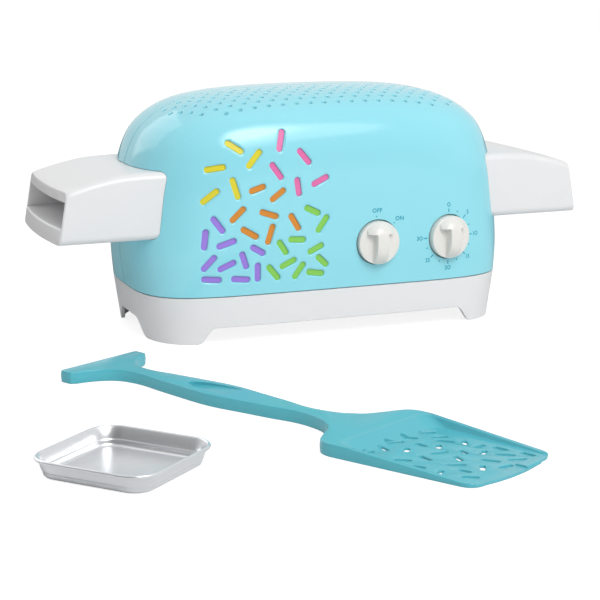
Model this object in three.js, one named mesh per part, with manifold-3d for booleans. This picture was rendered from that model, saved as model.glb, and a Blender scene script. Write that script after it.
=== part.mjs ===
// A child's toy oven: a loaf-shaped plastic body on four moulded feet, with a chute at each
// end. A shallow pan is pushed in at one chute, baked in a metal tunnel and pushed out at the
// other. The pan and its pusher tool lie on the floor in front. Millimetres, +Z up, the front
// faces -Y. The origin is the middle of the whole set, on the floor.
import * as THREE from 'three';
import { mergeVertices } from 'three/addons/utils/BufferGeometryUtils.js';
import Module from 'manifold-3d';

const wasm = await Module();
wasm.setup();

// Fits
const gap = 0.3; // between pieces that touch
const overrun = 2; // how far a cutter passes what it cuts
const weld = 1e-4; // vertices nearer than this are one

// Body: the upper housing, in two half shells
const body_length = 344.6;
const body_depth = 178;
const body_top = 206.9;
const seam_height = 41; // lower edge of the shells
const shell_wall = 2.5;
const ring_points = 36;
// Rows from the seam to the top: height, half length, half depth, and the two powers that
// square the outline off along the length and round it at the ends
const body_row_shares = [
  [0, 0.975, 0.975, 6, 3.6],
  [0.084, 0.9855, 0.984, 5.7, 3.4],
  [0.175, 0.995, 0.9955, 5.4, 3.1],
  [0.295, 1, 1, 5, 2.75],
  [0.446, 0.9925, 1, 4.7, 2.6],
  [0.567, 0.9785, 0.998, 4.5, 2.6],
  [0.657, 0.9576, 0.991, 4.3, 2.6],
  [0.735, 0.9286, 0.975, 4.1, 2.7],
  [0.802, 0.891, 0.944, 3.8, 2.8],
  [0.856, 0.8387, 0.8966, 3.6, 2.9],
  [0.898, 0.7806, 0.8315, 3.4, 3],
  [0.931, 0.7168, 0.758, 3.2, 3],
  [0.955, 0.65, 0.6685, 3, 2.9],
  [0.973, 0.569, 0.573, 2.8, 2.7],
  [0.987, 0.464, 0.444, 2.6, 2.6],
  [0.996, 0.325, 0.292, 2.5, 2.5],
  [1, 0.12, 0.09, 2.4, 2.4],
];
const hidden_row_step = 2; // the inside of the shells has every second row

// Base: apron, feet and deck in one white moulding
const seam_groove = 0.8;
const apron_wall = 3;
const base_foot_length_share = 0.94; // outline at the floor against the body's
const base_foot_depth_share = 0.966;
const base_powers = [6, 3.6];
const deck_bottom = 22;
const deck_thickness = 2.5;
const sole_thickness = 3;
const lip_height = 5; // the base's rim inside the shells
const lip_wall = 2;
const front_arch_height = 14.2;
const front_foot_run = 33; // a foot's length at the floor, along the front
const front_foot_slope = 18;
const end_arch_height = 15.5;
const end_foot_run = 43;
const end_foot_slope = 25;

// Chutes
const chute_inset = 26.3; // how far the chute's inner end lies inside the body's end
const chute_length = 94;
const chute_bottom = 88.7;
const chute_top = 145.6;
const chute_corner = 6.5;
const chute_lean = 7.5; // how far the mouth's top edge sits back
const chute_bulge = 4.5;
const chute_corner_steps = 3;
const chute_edge_steps = 6;
// Stations from the inner end to the mouth: place along the chute, height, lean and bulge
const chute_row_shares = [
  [0, 1, 0, 0],
  [0.28, 0.995, 0, 0],
  [0.47, 0.973, 0.12, 0],
  [0.65, 0.928, 0.5, 0.2],
  [0.83, 0.866, 0.8, 0.6],
  [1, 0.791, 1, 1],
];
const chute_wall = 2.5;
const passage_floor = 103;
const passage_height = 21.5;
const passage_half_width = 61.5;
const flange_thickness = 2.5;
const flange_half_width = 45;
const flange_height = 5.5;
const upper_flange_setback = 4; // from the chute's inner end
const lower_flange_setback = 14;

// Baking tunnel
const sheet = 1;
const tunnel_wall_height = 26.1;
const roof_skirt = 9;
const heat_slot_count = 6;
const heat_slot_length = 84;
const heat_slot_width = 8;
const heat_slot_pitch = 15;
const heat_slot_middle_share = -0.1;
const stand_share = 0.43;
const stand_half_width = 45;
const stand_flange = 14;

// Flaps that close the tunnel's two ends
const flap_setback = 28; // from the tunnel's end to the pin
const flap_half_width = 59;
const flap_pin_drop = 3; // from the roof's inner face to the pin's centre
const flap_pin_radius = 1.2;
const flap_barrel_wall = 0.9;
const flap_floor_clearance = 1.5;
const flap_sides = 12;

// Heater
const rod_radius = 3;
const rod_half_spacing = 22;
const rod_start_share = -0.66; // of half the tunnel's length
const rod_bend_share = 0.41;
const rod_height = 10.9; // rod centre above the roof
const rod_sides = 4;
const rod_steps = 24;
const rod_bend_points = 9;
const holder_thickness = 8;
const holder_half_width = 31;
const holder_height = 18.6;
const holder_place_shares = [-0.56, 0.33];
const shield_length_share = 0.67;
const shield_half_width = 50;
const shield_foot = 11;
const shield_height = 23;
const thermostat_share = 0.8;
const thermostat_radius = 9;
const thermostat_height = 7;
const thermostat_plate = 1.5;
const thermostat_ear = 16;
const fuse_share = -0.81;
const fuse_radius = 2.4;
const fuse_length = 14;
const fuse_lead_radius = 0.8;
const fuse_lead_length = 12;

// Controls
const knob_radius = 18.75;
const knob_rim_height = 9.6;
const knob_disc_height = 10.4; // at the disc's middle
const knob_height = 19;
const knob_grip_share = 0.68; // the grip's dome is narrower than the disc
const knob_dome_power = 3.2; // of the dome's fall from its peak to its foot
const knob_sides = 24;
const knob_dome_steps = 4;
const knob_pocket_rise_share = 0.44; // lower edge of the cross bar above the centre
const rib_top_width = 10.3;
const rib_foot_width = 11.6;
const knob_clearance = 1;
const knob_lift = 0.8; // knob's back face above the well's floor
const well_depth = 5.8;
const well_sides = 36;
const shaft_radius = 3;
const shaft_into_knob = 6.5;
const shaft_into_body = 12;
const collar_radius = 4.7;
const collar_length = 3;
const shaft_sides = 16;
// Places of the two knobs: shares of half the body's length and of its height from the seam
const power_knob_shares = [0.192, 0.228];
const timer_knob_shares = [0.59, 0.228];
const power_surface_inset = 0.2; // how far the housing's face lies behind its deepest line
const timer_surface_inset = 2.3;
const timer_tilt_deg = 6.5;
const switch_size = [26, 22, 22];
const timer_size = [36, 26, 36];

// Coloured inlays behind the capsule openings: for each colour the panel's outline, and its
// openings as centre, angle in degrees and length. Places are shares of half the body's length
// and of the height from the seam to the top, and lengths are shares of half the body's length.
const capsule_width = 6.2;
const capsule_end_steps = 2;
const inlay_thickness = 1.5;
const inlay_shares = {
  yellow: {
    outline: [
      [-0.737, 0.467], [-0.507, 0.467], [-0.507, 0.615], [-0.389, 0.615], [-0.389, 0.826],
      [-0.604, 0.826], [-0.604, 0.696], [-0.737, 0.696],
    ],
    places: [
      [-0.546, 0.753, 146, 0.099], [-0.453, 0.693, 50, 0.113], [-0.644, 0.651, 8, 0.105],
      [-0.551, 0.549, 107, 0.114], [-0.673, 0.512, 38, 0.110],
    ],
  },
  pink: {
    outline: [
      [-0.386, 0.846], [-0.386, 0.573], [-0.279, 0.573], [-0.279, 0.467], [-0.046, 0.467],
      [-0.046, 0.846],
    ],
    places: [
      [-0.313, 0.778, 75, 0.110], [-0.197, 0.693, 129, 0.100], [-0.342, 0.627, 125, 0.103],
      [-0.232, 0.542, 98, 0.096], [-0.116, 0.567, 26, 0.100],
    ],
  },
  orange: {
    outline: [
      [-0.59, 0.463], [-0.504, 0.463], [-0.504, 0.611], [-0.389, 0.611], [-0.389, 0.569],
      [-0.282, 0.569], [-0.282, 0.463], [-0.209, 0.463], [-0.209, 0.304], [-0.353, 0.304],
      [-0.353, 0.246], [-0.412, 0.246], [-0.412, 0.274], [-0.534, 0.274], [-0.534, 0.362],
      [-0.59, 0.362],
    ],
    places: [
      [-0.441, 0.542, 18, 0.089], [-0.337, 0.506, 37, 0.097], [-0.54, 0.416, 44, 0.103],
      [-0.383, 0.41, 161, 0.103], [-0.25, 0.362, 121, 0.101], [-0.482, 0.319, 149, 0.103],
      [-0.377, 0.307, 72, 0.107],
    ],
  },
  green: {
    outline: [
      [-0.206, 0.463], [-0.046, 0.463], [-0.046, 0.042], [-0.406, 0.042], [-0.406, 0.168],
      [-0.392, 0.168], [-0.392, 0.243], [-0.35, 0.243], [-0.35, 0.301], [-0.206, 0.301],
    ],
    places: [
      [-0.157, 0.416, 154, 0.093], [-0.104, 0.344, 55, 0.103], [-0.238, 0.271, 176, 0.092],
      [-0.313, 0.235, 123, 0.090], [-0.139, 0.217, 26, 0.093], [-0.104, 0.151, 137, 0.084],
      [-0.284, 0.151, 26, 0.095], [-0.226, 0.108, 55, 0.100], [-0.36, 0.108, 130, 0.100],
      [-0.139, 0.09, 171, 0.097],
    ],
  },
  purple: {
    outline: [
      [-0.737, 0.463], [-0.593, 0.463], [-0.593, 0.359], [-0.537, 0.359], [-0.537, 0.271],
      [-0.415, 0.271], [-0.415, 0.243], [-0.395, 0.243], [-0.395, 0.171], [-0.409, 0.171],
      [-0.409, 0.042], [-0.737, 0.042],
    ],
    places: [
      [-0.638, 0.368, 126, 0.100], [-0.702, 0.295, 83, 0.103], [-0.598, 0.271, 18, 0.105],
      [-0.441, 0.229, 149, 0.087], [-0.685, 0.175, 47, 0.101], [-0.598, 0.157, 24, 0.100],
      [-0.511, 0.181, 108, 0.093], [-0.441, 0.115, 91, 0.097], [-0.673, 0.09, 175, 0.100],
      [-0.528, 0.084, 174, 0.098],
    ],
  },
};

// Vents: rows of holes in the front shell's top, every other row half a pitch along
const vent_radius = 2;
const vent_sides = 4;
const vent_pitch = 12.6;
const vent_row_pitch = 12.6;
const vent_first_row = 11.6; // from the parting plane
const vent_counts = [22, 21, 20, 19, 16]; // from the parting plane outwards

// Posts, bosses and screws
const post_radius = 5;
const post_sides = 10;
// Shares of half the body's length and of its height from the seam
const post_place_shares = [[-0.812, 0.133], [0.812, 0.133], [-0.65, 0.765], [0.65, 0.765]];
const head_seat = 12; // rear posts: from the parting plane to the screw's head
const shell_screw_reach = 16; // past the parting plane
const base_boss_share = 0.766; // of half the body's length
const base_boss_inset = 37; // from the body's deepest line
const base_boss_radius = 4.5;
const base_boss_rise = 8; // above the base's lip
const base_boss_rib = 2.5;
const base_screw_reach = 15; // above the deck
const screw_radius = 1.5;
const screw_head_radius = 3.3;
const screw_head_height = 2.1;
const screw_sides = 8;

// Wiring parts
const block_size = [34, 14, 12];
const block_place_shares = [-0.51, 0.47]; // of half the body's length and of half its depth
const block_port_radius = 2;
const block_port_pitch = 11;
const gland_place_shares = [-0.348, 0.102]; // of half the body's length and of its height
const gland_surface_inset = 1.3;
const gland_tilt_deg = -3.4;
const gland_bore = 3.8;
const gland_radius = 5.4;
const gland_flange_radius = 8.4;
const gland_flange = 2;
const gland_sides = 16;

// Pan
const pan_half = 47.5;
const pan_corner = 20;
const pan_depth = 14;
const pan_sheet = 0.8;
const pan_bead = 1.3;
const pan_corner_steps = 5;
const pan_step_height = 4.2;
// Outside of the pan from the floor to the rim: inset from the rim, height
const pan_profile_shares = [
  [0.17, 0], [0.125, 0.04], [0.105, 0.13], [0.1, 0.3], [0.07, 0.34], [0.05, 0.6], [0.027, 0.88],
];

// Pusher tool: half widths along its length
const tool_length = 402;
const tool_half_width = 53;
const tool_thickness = 9.5;
const tool_wall = 2;
const tool_outline_shares = [
  [0.037, 0.7], [0.048, 0.49], [0.062, 0.33], [0.08, 0.21], [0.105, 0.15], [0.142, 0.138],
  [0.187, 0.187], [0.246, 0.24], [0.308, 0.289], [0.353, 0.292], [0.415, 0.24], [0.478, 0.189],
  [0.522, 0.138], [0.56, 0.145], [0.597, 0.21], [0.617, 0.3], [0.632, 0.38], [0.647, 0.55],
  [0.66, 0.75], [0.672, 0.9], [0.685, 0.97], [0.702, 1],
];
const tool_bar_half_width = 41;
const tool_bar_length = 13;
const blade_front_half_width = 47;
const blade_front_corner = 14;
const blade_front_bow = 4;
const blade_recess_start = 285;
const blade_slope_start = 292;
const blade_lip = 3.2;
const blade_floor = 2;
const blade_rim = 4.5;
const thumb_end = 140;
const thumb_length = 33;
const thumb_half_width = 9.5;
const thumb_depth = 3;

// Slots in the blade's floor: centre, angle in degrees and length. Places are shares of the
// tool's length and half width, and lengths are shares of its half width.
const blade_slot_width = 4;
const blade_slot_shares = [
  [0.752, 0.59, 45, 0.22], [0.784, 0.54, 47, 0.22], [0.747, 0.25, 24, 0.23], [0.806, 0.44, 24, 0.25],
  [0.836, 0.55, 136, 0.19], [0.868, 0.54, 85, 0.19], [0.902, 0.64, 178, 0.23], [0.955, 0.67, 177, 0.23],
  [0.744, -0.04, 54, 0.26], [0.787, 0.1, 175, 0.2], [0.816, 0.19, 127, 0.18], [0.866, 0.21, 160, 0.18],
  [0.893, 0.36, 106, 0.18], [0.928, 0.46, 29, 0.26], [0.958, 0.4, 48, 0.26], [0.752, -0.34, 159, 0.21],
  [0.786, -0.19, 123, 0.19], [0.838, -0.02, 63, 0.25], [0.881, -0.06, 152, 0.22], [0.928, 0.13, 19, 0.26],
  [0.745, -0.58, 49, 0.15], [0.838, -0.32, 167, 0.24], [0.94, -0.17, 128, 0.21], [0.965, 0.06, 75, 0.23],
  [0.816, -0.57, 31, 0.23], [0.898, -0.28, 41, 0.25], [0.858, -0.66, 15, 0.2], [0.928, -0.42, 5, 0.19],
  [0.903, -0.7, 106, 0.25], [0.953, -0.57, 30, 0.23],
];

// Where the pieces stand: the pan and the tool against the oven's middle
const pan_place = [-278, -384];
const pan_turn_deg = -49;
const tool_place = [-228, -134];
const tool_turn_deg = -62;

// Shapes
function toSolid(geometry) {
  const bare = new THREE.BufferGeometry();
  bare.setAttribute('position', geometry.getAttribute('position'));
  if (geometry.index) bare.setIndex(geometry.index);
  const merged = mergeVertices(bare, weld);
  return new wasm.Manifold(new wasm.Mesh({
    numProp: 3,
    vertProperties: new Float32Array(merged.getAttribute('position').array),
    triVerts: new Uint32Array(merged.index.array),
  }));
}

function toGeometry(solid) {
  const mesh = solid.getMesh();
  const geometry = new THREE.BufferGeometry();
  geometry.setAttribute('position', new THREE.BufferAttribute(mesh.vertProperties, 3));
  geometry.setIndex(new THREE.BufferAttribute(mesh.triVerts, 1));
  geometry.computeVertexNormals();
  return geometry;
}

const join = (...solids) => solids.reduce((sum, solid) => sum.add(solid));
const cut = (solid, ...tools) => tools.reduce((rest, tool) => rest.subtract(tool), solid);

function box(x0, x1, y0, y1, z0, z1) {
  const geometry = new THREE.BoxGeometry(x1 - x0, y1 - y0, z1 - z0);
  return toSolid(geometry.translate((x0 + x1) / 2, (y0 + y1) / 2, (z0 + z1) / 2));
}

// An outline in x and z, extruded along y
function prismY(shape, y0, y1, curveSegments = 8) {
  const geometry = new THREE.ExtrudeGeometry(shape, { depth: y1 - y0, bevelEnabled: false, curveSegments });
  return toSolid(geometry.rotateX(Math.PI / 2).translate(0, y1, 0));
}

// An outline in y and z, extruded along x
function prismX(shape, x0, x1, curveSegments = 8) {
  const geometry = new THREE.ExtrudeGeometry(shape, { depth: x1 - x0, bevelEnabled: false, curveSegments });
  geometry.rotateX(Math.PI / 2).rotateZ(Math.PI / 2);
  return toSolid(geometry.translate(x0, 0, 0));
}

function prismZ(shape, z0, z1, curveSegments = 8) {
  const geometry = new THREE.ExtrudeGeometry(shape, { depth: z1 - z0, bevelEnabled: false, curveSegments });
  return toSolid(geometry.translate(0, 0, z0));
}

function rodZ(radius, x, y, z0, z1, sides) {
  const geometry = new THREE.CylinderGeometry(radius, radius, z1 - z0, sides);
  return toSolid(geometry.rotateX(Math.PI / 2).translate(x, y, (z0 + z1) / 2));
}

function rodY(radius, x, z, y0, y1, sides) {
  const geometry = new THREE.CylinderGeometry(radius, radius, y1 - y0, sides);
  return toSolid(geometry.translate(x, (y0 + y1) / 2, z));
}

function rodX(radius, y, z, x0, x1, sides) {
  const geometry = new THREE.CylinderGeometry(radius, radius, x1 - x0, sides);
  return toSolid(geometry.rotateZ(Math.PI / 2).translate((x0 + x1) / 2, y, z));
}

function moved(solid, group) {
  group.updateMatrixWorld();
  return toSolid(toGeometry(solid).applyMatrix4(group.matrixWorld));
}

function outline(points) {
  return new THREE.Shape(points.map(([u, v]) => new THREE.Vector2(u, v)));
}

// A closed skin over rings of equal size. Each flat end is filled by a strip of quads that
// joins the ring's first half to its mirrored second half.
function loft(rings) {
  const count = rings[0].length;
  const last = (rings.length - 1) * count;
  const index = [];
  for (let r = 0; r < rings.length - 1; r++) {
    for (let i = 0; i < count; i++) {
      const a = r * count + i;
      const b = r * count + (i + 1) % count;
      index.push(a, b, b + count, a, b + count, a + count);
    }
  }
  for (let i = 0; i < count / 2 - 1; i++) {
    const far = count - 1 - i;
    index.push(last + i, last + i + 1, last + far - 1, last + i, last + far - 1, last + far);
    index.push(i + 1, i, far - 1, far - 1, i, far);
  }
  const geometry = new THREE.BufferGeometry();
  const places = rings.flat().flatMap((point) => point.toArray());
  geometry.setAttribute('position', new THREE.Float32BufferAttribute(places, 3));
  geometry.setIndex(index);
  return toSolid(geometry);
}

// One level of the housing: a rounded outline with its own power along each axis
function level(half_length, half_depth, length_power, depth_power, height) {
  const ring = [];
  for (let i = 0; i < ring_points; i++) {
    const angle = (i + 0.5) * 2 * Math.PI / ring_points;
    const across = Math.cos(angle);
    const along = Math.sin(angle);
    ring.push(new THREE.Vector3(
      half_length * Math.sign(across) * Math.abs(across) ** (2 / length_power),
      half_depth * Math.sign(along) * Math.abs(along) ** (2 / depth_power),
      height,
    ));
  }
  return ring;
}

function bodySolid(inset, first_height, row_step = 1) {
  const top = body_top - inset;
  const rows = body_row_shares.filter((row, i) => i % row_step === 0);
  const rings = rows.map(([height, length, depth, p, q]) => level(
    length * body_length / 2 - inset,
    depth * body_depth / 2 - inset,
    p,
    q,
    seam_height + height * (top - seam_height),
  ));
  if (first_height < seam_height) {
    rings.unshift(rings[0].map((point) => point.clone().setZ(first_height)));
  }
  return loft(rings);
}

function baseSolid(inset, low, high) {
  const seam_length = body_row_shares[0][1] * body_length / 2;
  const seam_depth = body_row_shares[0][2] * body_depth / 2;
  const [p, q] = base_powers;
  return loft([low, high].map((height) => {
    const rise = height / seam_height;
    return level(
      foot_length + (seam_length - foot_length) * rise - inset,
      foot_depth + (seam_depth - foot_depth) * rise - inset,
      p,
      q,
      height,
    );
  }));
}

// Half the opening between two feet, mirrored: flat on top, an S-curve down to each foot
function archShape(half_foot, slope, height) {
  const shape = new THREE.Shape();
  const half_top = half_foot - slope;
  const middle = (half_top + half_foot) / 2;
  shape.moveTo(-half_foot, -overrun);
  shape.lineTo(-half_foot, 0);
  shape.bezierCurveTo(-middle, 0, -middle, height, -half_top, height);
  shape.lineTo(half_top, height);
  shape.bezierCurveTo(middle, height, middle, 0, half_foot, 0);
  shape.lineTo(half_foot, -overrun);
  return shape;
}

function capsuleShape(x, z, angle_deg, length, width) {
  const shape = new THREE.Shape();
  const turn = THREE.MathUtils.degToRad(angle_deg);
  const radius = width / 2;
  const reach = length / 2 - radius;
  const dx = reach * Math.cos(turn);
  const dz = reach * Math.sin(turn);
  shape.absarc(x + dx, z + dz, radius, turn - Math.PI / 2, turn + Math.PI / 2);
  shape.absarc(x - dx, z - dz, radius, turn + Math.PI / 2, turn + 3 * Math.PI / 2);
  return shape;
}

// Derived heights and places
const body_half_length = body_length / 2;
const body_half_depth = body_depth / 2;
const body_height = body_top - seam_height;
const onBody = ([x, z]) => [x * body_half_length, seam_height + z * body_height];
const foot_length = base_foot_length_share * body_half_length;
const foot_depth = base_foot_depth_share * body_half_depth;
const chute_half_width = passage_half_width + chute_wall;
const chute_inner_end = body_half_length - chute_inset;
const post_places = post_place_shares.map(onBody);
const base_boss_x = base_boss_share * body_half_length;
const base_boss_y = body_half_depth - base_boss_inset;
const lip_top = seam_height + lip_height;
const deck_top = deck_bottom + deck_thickness;
const tray_bottom = passage_floor - gap - sheet;
const tray_top = tray_bottom + tunnel_wall_height;
const roof_inner = tray_top + gap;
const roof_top = roof_inner + sheet;
const tray_half_width = passage_half_width + sheet;
const tunnel_half_length = chute_inner_end - gap;
const flap_pin_height = roof_inner - flap_pin_drop;
const flap_x = tunnel_half_length - flap_setback;
const stand_x = stand_share * tunnel_half_length;

// Materials
const plastic = (color) => new THREE.MeshStandardMaterial({ color, roughness: 0.35, metalness: 0 });
const metal = (color, roughness) => new THREE.MeshStandardMaterial({ color, roughness, metalness: 1 });
const aqua = plastic('#96e1ee');
const white = plastic('#e6e6e8');
const knob_white = plastic('#ededed');
const teal = plastic('#55bfca');
const bakelite = plastic('#2b2b2e');
const ceramic = new THREE.MeshStandardMaterial({ color: '#e9e4d8', roughness: 0.8, metalness: 0 });
const galvanised = metal('#b4b8bb', 0.45);
const bright_steel = metal('#c4c6c8', 0.3);
const heater_steel = metal('#6d6a66', 0.55);
const aluminium = metal('#d4d6d8', 0.25);
const inlay_materials = {
  yellow: plastic('#e5d93b'),
  pink: plastic('#ea70ae'),
  orange: plastic('#e08f2e'),
  green: plastic('#80ce55'),
  purple: plastic('#9c76d6'),
};

const set = new THREE.Group();
const oven = new THREE.Group();
set.add(oven);

function piece(name, solid, material, group = oven) {
  const mesh = new THREE.Mesh(toGeometry(solid), material);
  mesh.name = name;
  group.add(mesh);
}

// Controls stand in groups whose origin is a point on the housing's face. In them +Y leads
// into the oven and the shaft runs along Y.
const power_control = new THREE.Group();
const [power_x, power_z] = onBody(power_knob_shares);
power_control.position.set(power_x, power_surface_inset - body_half_depth, power_z);
const timer_control = new THREE.Group();
const [timer_x, timer_z] = onBody(timer_knob_shares);
timer_control.position.set(timer_x, timer_surface_inset - body_half_depth, timer_z);
timer_control.rotation.z = THREE.MathUtils.degToRad(timer_tilt_deg);
oven.add(power_control, timer_control);
const cord_inlet = new THREE.Group();
const [gland_x, gland_z] = onBody(gland_place_shares);
cord_inlet.position.set(gland_x, body_half_depth - gland_surface_inset, gland_z);
cord_inlet.rotation.x = THREE.MathUtils.degToRad(gland_tilt_deg);
oven.add(cord_inlet);
const well_radius = knob_radius + knob_clearance;
const well_back = well_depth + shell_wall; // inner face of the well's floor

function buildBase() {
  const base_top = seam_height - seam_groove;
  const inner_low = baseSolid(apron_wall, sole_thickness, deck_bottom);
  const inner_high = baseSolid(apron_wall, deck_top, base_top + overrun);
  const lip_inset = shell_wall + gap;
  const lip = cut(
    bodySolid(lip_inset, deck_top, hidden_row_step),
    bodySolid(lip_inset + lip_wall, deck_top - overrun, hidden_row_step),
    box(-body_length, body_length, -body_depth, body_depth, lip_top, body_top + overrun),
  );
  const front_arch = archShape(foot_length - front_foot_run, front_foot_slope, front_arch_height);
  const end_arch = archShape(foot_depth - end_foot_run, end_foot_slope, end_arch_height);
  const screw_holes = [];
  for (const x of [-base_boss_x, base_boss_x]) {
    for (const y of [-base_boss_y, base_boss_y]) {
      screw_holes.push(rodZ(screw_radius + gap, x, y, deck_bottom - overrun, deck_top + overrun, screw_sides));
    }
  }
  const body = join(cut(baseSolid(0, 0, base_top), inner_low, inner_high), lip);
  return cut(
    body,
    prismY(front_arch, -body_depth, body_depth),
    prismX(end_arch, -body_length, body_length),
    ...screw_holes,
  );
}

function chuteRing([along, height_share, lean_share, bulge_share], inset = 0) {
  const x = chute_inner_end + along * chute_length;
  const height = height_share * (chute_top - chute_bottom) - 2 * inset;
  const half_width = chute_half_width - inset;
  const radius = chute_corner - inset;
  const half = [];
  const arc = (sign) => {
    for (let i = 0; i <= chute_corner_steps; i++) {
      const share = sign > 0 ? i : chute_corner_steps - i;
      const angle = share / chute_corner_steps * Math.PI / 2;
      half.push([
        sign * (half_width - radius + radius * Math.cos(angle)),
        height / 2 - radius + radius * Math.sin(angle),
      ]);
    }
  };
  arc(1);
  for (let i = 1; i < chute_edge_steps; i++) {
    half.push([(half_width - radius) * (1 - 2 * i / chute_edge_steps), height / 2]);
  }
  arc(-1);
  const ring = [...half, ...half.map(([y, z]) => [y, -z]).reverse()];
  const middle = chute_bottom + inset + height / 2;
  return ring.map(([y, z]) => new THREE.Vector3(
    x - lean_share * chute_lean * (z / height + 0.5)
      + bulge_share * chute_bulge * (1 - (y / half_width) ** 2),
    y,
    middle + z,
  ));
}

// The chute on the +X side; the other is the same moulding turned half round
function buildChute() {
  const skin = loft(chute_row_shares.map((row) => chuteRing(row)));
  const far = chute_inner_end + chute_length + chute_bulge + overrun;
  const near = chute_inner_end - overrun;
  const passage_top = passage_floor + passage_height;
  const passage = box(near, far, -passage_half_width, passage_half_width, passage_floor, passage_top);
  const rows = chute_row_shares.slice(0, -1);
  const hollow = loft(rows.map((row) => chuteRing(row, chute_wall)));
  const hollow_open = loft(rows.slice(0, 2).map((row) => (
    chuteRing(row, chute_wall).map((point) => point.clone().setX(point.x - overrun))
  )));
  const passage_walls = box(
    near - overrun,
    far,
    -chute_half_width,
    chute_half_width,
    passage_floor - chute_wall,
    passage_top + chute_wall,
  );
  const flange = (x, z) => box(
    x,
    x + flange_thickness,
    -flange_half_width,
    flange_half_width,
    z - flange_height,
    z + flange_height,
  );
  const flanges = cut(
    join(
      flange(chute_inner_end + upper_flange_setback, chute_top),
      flange(chute_inner_end + lower_flange_setback, chute_bottom),
    ),
    loft(chute_row_shares.map((row) => chuteRing(row, chute_wall / 2))),
  );
  const cavity = cut(join(hollow, hollow_open), passage_walls);
  return cut(join(cut(skin, cavity), flanges), passage);
}

function chuteHole() {
  const [first, second] = chute_row_shares;
  const rows = [first, [second[0], first[1], 0, 0]];
  const rings = rows.map((row) => chuteRing(row, -gap));
  rings[0] = rings[0].map((point) => point.clone().setX(chute_inner_end - overrun));
  rings[1] = rings[1].map((point) => point.clone().setX(body_length / 2 + overrun));
  return loft(rings);
}

function turned(solid) {
  return toSolid(toGeometry(solid).rotateZ(Math.PI));
}

function buildVents() {
  return vent_counts.flatMap((count, row) => Array.from({ length: count }, (_, i) => rodZ(
    vent_radius,
    (i - (count - 1) / 2) * vent_pitch,
    -vent_first_row - row * vent_row_pitch,
    seam_height + body_height / 2,
    body_top + overrun,
    vent_sides,
  )));
}

function buildShells() {
  const outer = bodySolid(0, seam_height);
  const inner = bodySolid(shell_wall, seam_height - overrun, hidden_row_step);
  const cups = [power_control, timer_control].map((group) => (
    moved(rodY(well_radius + shell_wall, 0, 0, shell_wall / 2, well_back, well_sides), group).intersect(outer)
  ));
  const wells = [power_control, timer_control].map((group) => (
    moved(rodY(well_radius, 0, 0, -knob_height, well_depth, well_sides), group)
  ));
  const shaft_holes = [power_control, timer_control].map((group) => (
    moved(rodY(collar_radius + gap, 0, 0, well_depth - overrun, well_back + overrun, shaft_sides), group)
  ));
  const capsules = Object.values(inlay_shares).flatMap(({ places }) => (
    places.map(([x, z, angle, length]) => prismY(
      capsuleShape(...onBody([x, z]), angle, length * body_half_length, capsule_width),
      -body_depth,
      -body_depth / 4,
      capsule_end_steps,
    ))
  ));
  const front_posts = [];
  const front_pilots = [];
  const rear_posts = [];
  const rear_bores = [];
  for (const [x, z] of post_places) {
    front_posts.push(rodY(post_radius, x, z, -body_depth / 2, -gap / 2, post_sides).intersect(outer));
    front_pilots.push(rodY(screw_radius + gap, x, z, -shell_screw_reach - 2 * gap, 0, screw_sides));
    rear_posts.push(rodY(post_radius, x, z, gap / 2, body_depth / 2, post_sides).intersect(outer));
    rear_bores.push(rodY(screw_head_radius + gap, x, z, head_seat, body_depth, post_sides));
    rear_bores.push(rodY(screw_radius + gap, x, z, 0, head_seat + overrun, screw_sides));
  }
  const bosses = (side) => [-base_boss_x, base_boss_x].flatMap((x) => {
    const y = side * base_boss_y;
    const rib = box(
      x - base_boss_rib / 2,
      x + base_boss_rib / 2,
      Math.min(y, side * body_half_depth),
      Math.max(y, side * body_half_depth),
      lip_top + 2 * gap,
      lip_top + base_boss_rise,
    );
    const boss = rodZ(base_boss_radius, x, y, deck_top + gap, lip_top + base_boss_rise, post_sides);
    return [boss, rib.intersect(outer)];
  });
  const pilots = (side) => [-base_boss_x, base_boss_x].map((x) => (
    rodZ(screw_radius + gap, x, side * base_boss_y, 0, deck_top + base_screw_reach + 2 * gap, screw_sides)
  ));
  const hole = chuteHole();
  const hull = cut(outer, inner);
  const half = (y0, y1) => hull.intersect(box(-body_length, body_length, y0, y1, 0, 2 * body_top));
  const front = cut(
    join(half(-body_depth, -gap / 2), ...cups, ...front_posts, ...bosses(-1)),
    ...wells,
    ...shaft_holes,
    ...capsules,
    ...front_pilots,
    ...pilots(-1),
    ...buildVents(),
    hole,
    turned(hole),
  );
  const rear = cut(
    join(half(gap / 2, body_depth), ...rear_posts, ...bosses(1)),
    ...rear_bores,
    ...pilots(1),
    moved(rodY(gland_radius + gap, 0, 0, -well_depth, well_depth, gland_sides), cord_inlet),
    hole,
    turned(hole),
  );
  return [front, rear];
}

function buildInlay(shares) {
  const skin = cut(
    bodySolid(shell_wall + gap, seam_height, hidden_row_step),
    bodySolid(shell_wall + gap + inlay_thickness, seam_height - overrun, hidden_row_step),
  );
  return skin.intersect(prismY(outline(shares.map(onBody)), -body_depth, -body_depth / 4));
}

function buildTray() {
  const section = outline([
    [-tray_half_width, tray_bottom],
    [tray_half_width, tray_bottom],
    [tray_half_width, tray_top],
    [passage_half_width, tray_top],
    [passage_half_width, tray_bottom + sheet],
    [-passage_half_width, tray_bottom + sheet],
    [-passage_half_width, tray_top],
    [-tray_half_width, tray_top],
  ]);
  return cut(prismX(section, -tunnel_half_length, tunnel_half_length), ...pinHoles());
}

function pinHoles() {
  return [-flap_x, flap_x].map((x) => rodY(
    flap_pin_radius + gap,
    x,
    flap_pin_height,
    -chute_half_width - overrun,
    chute_half_width + overrun,
    flap_sides,
  ));
}

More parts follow.
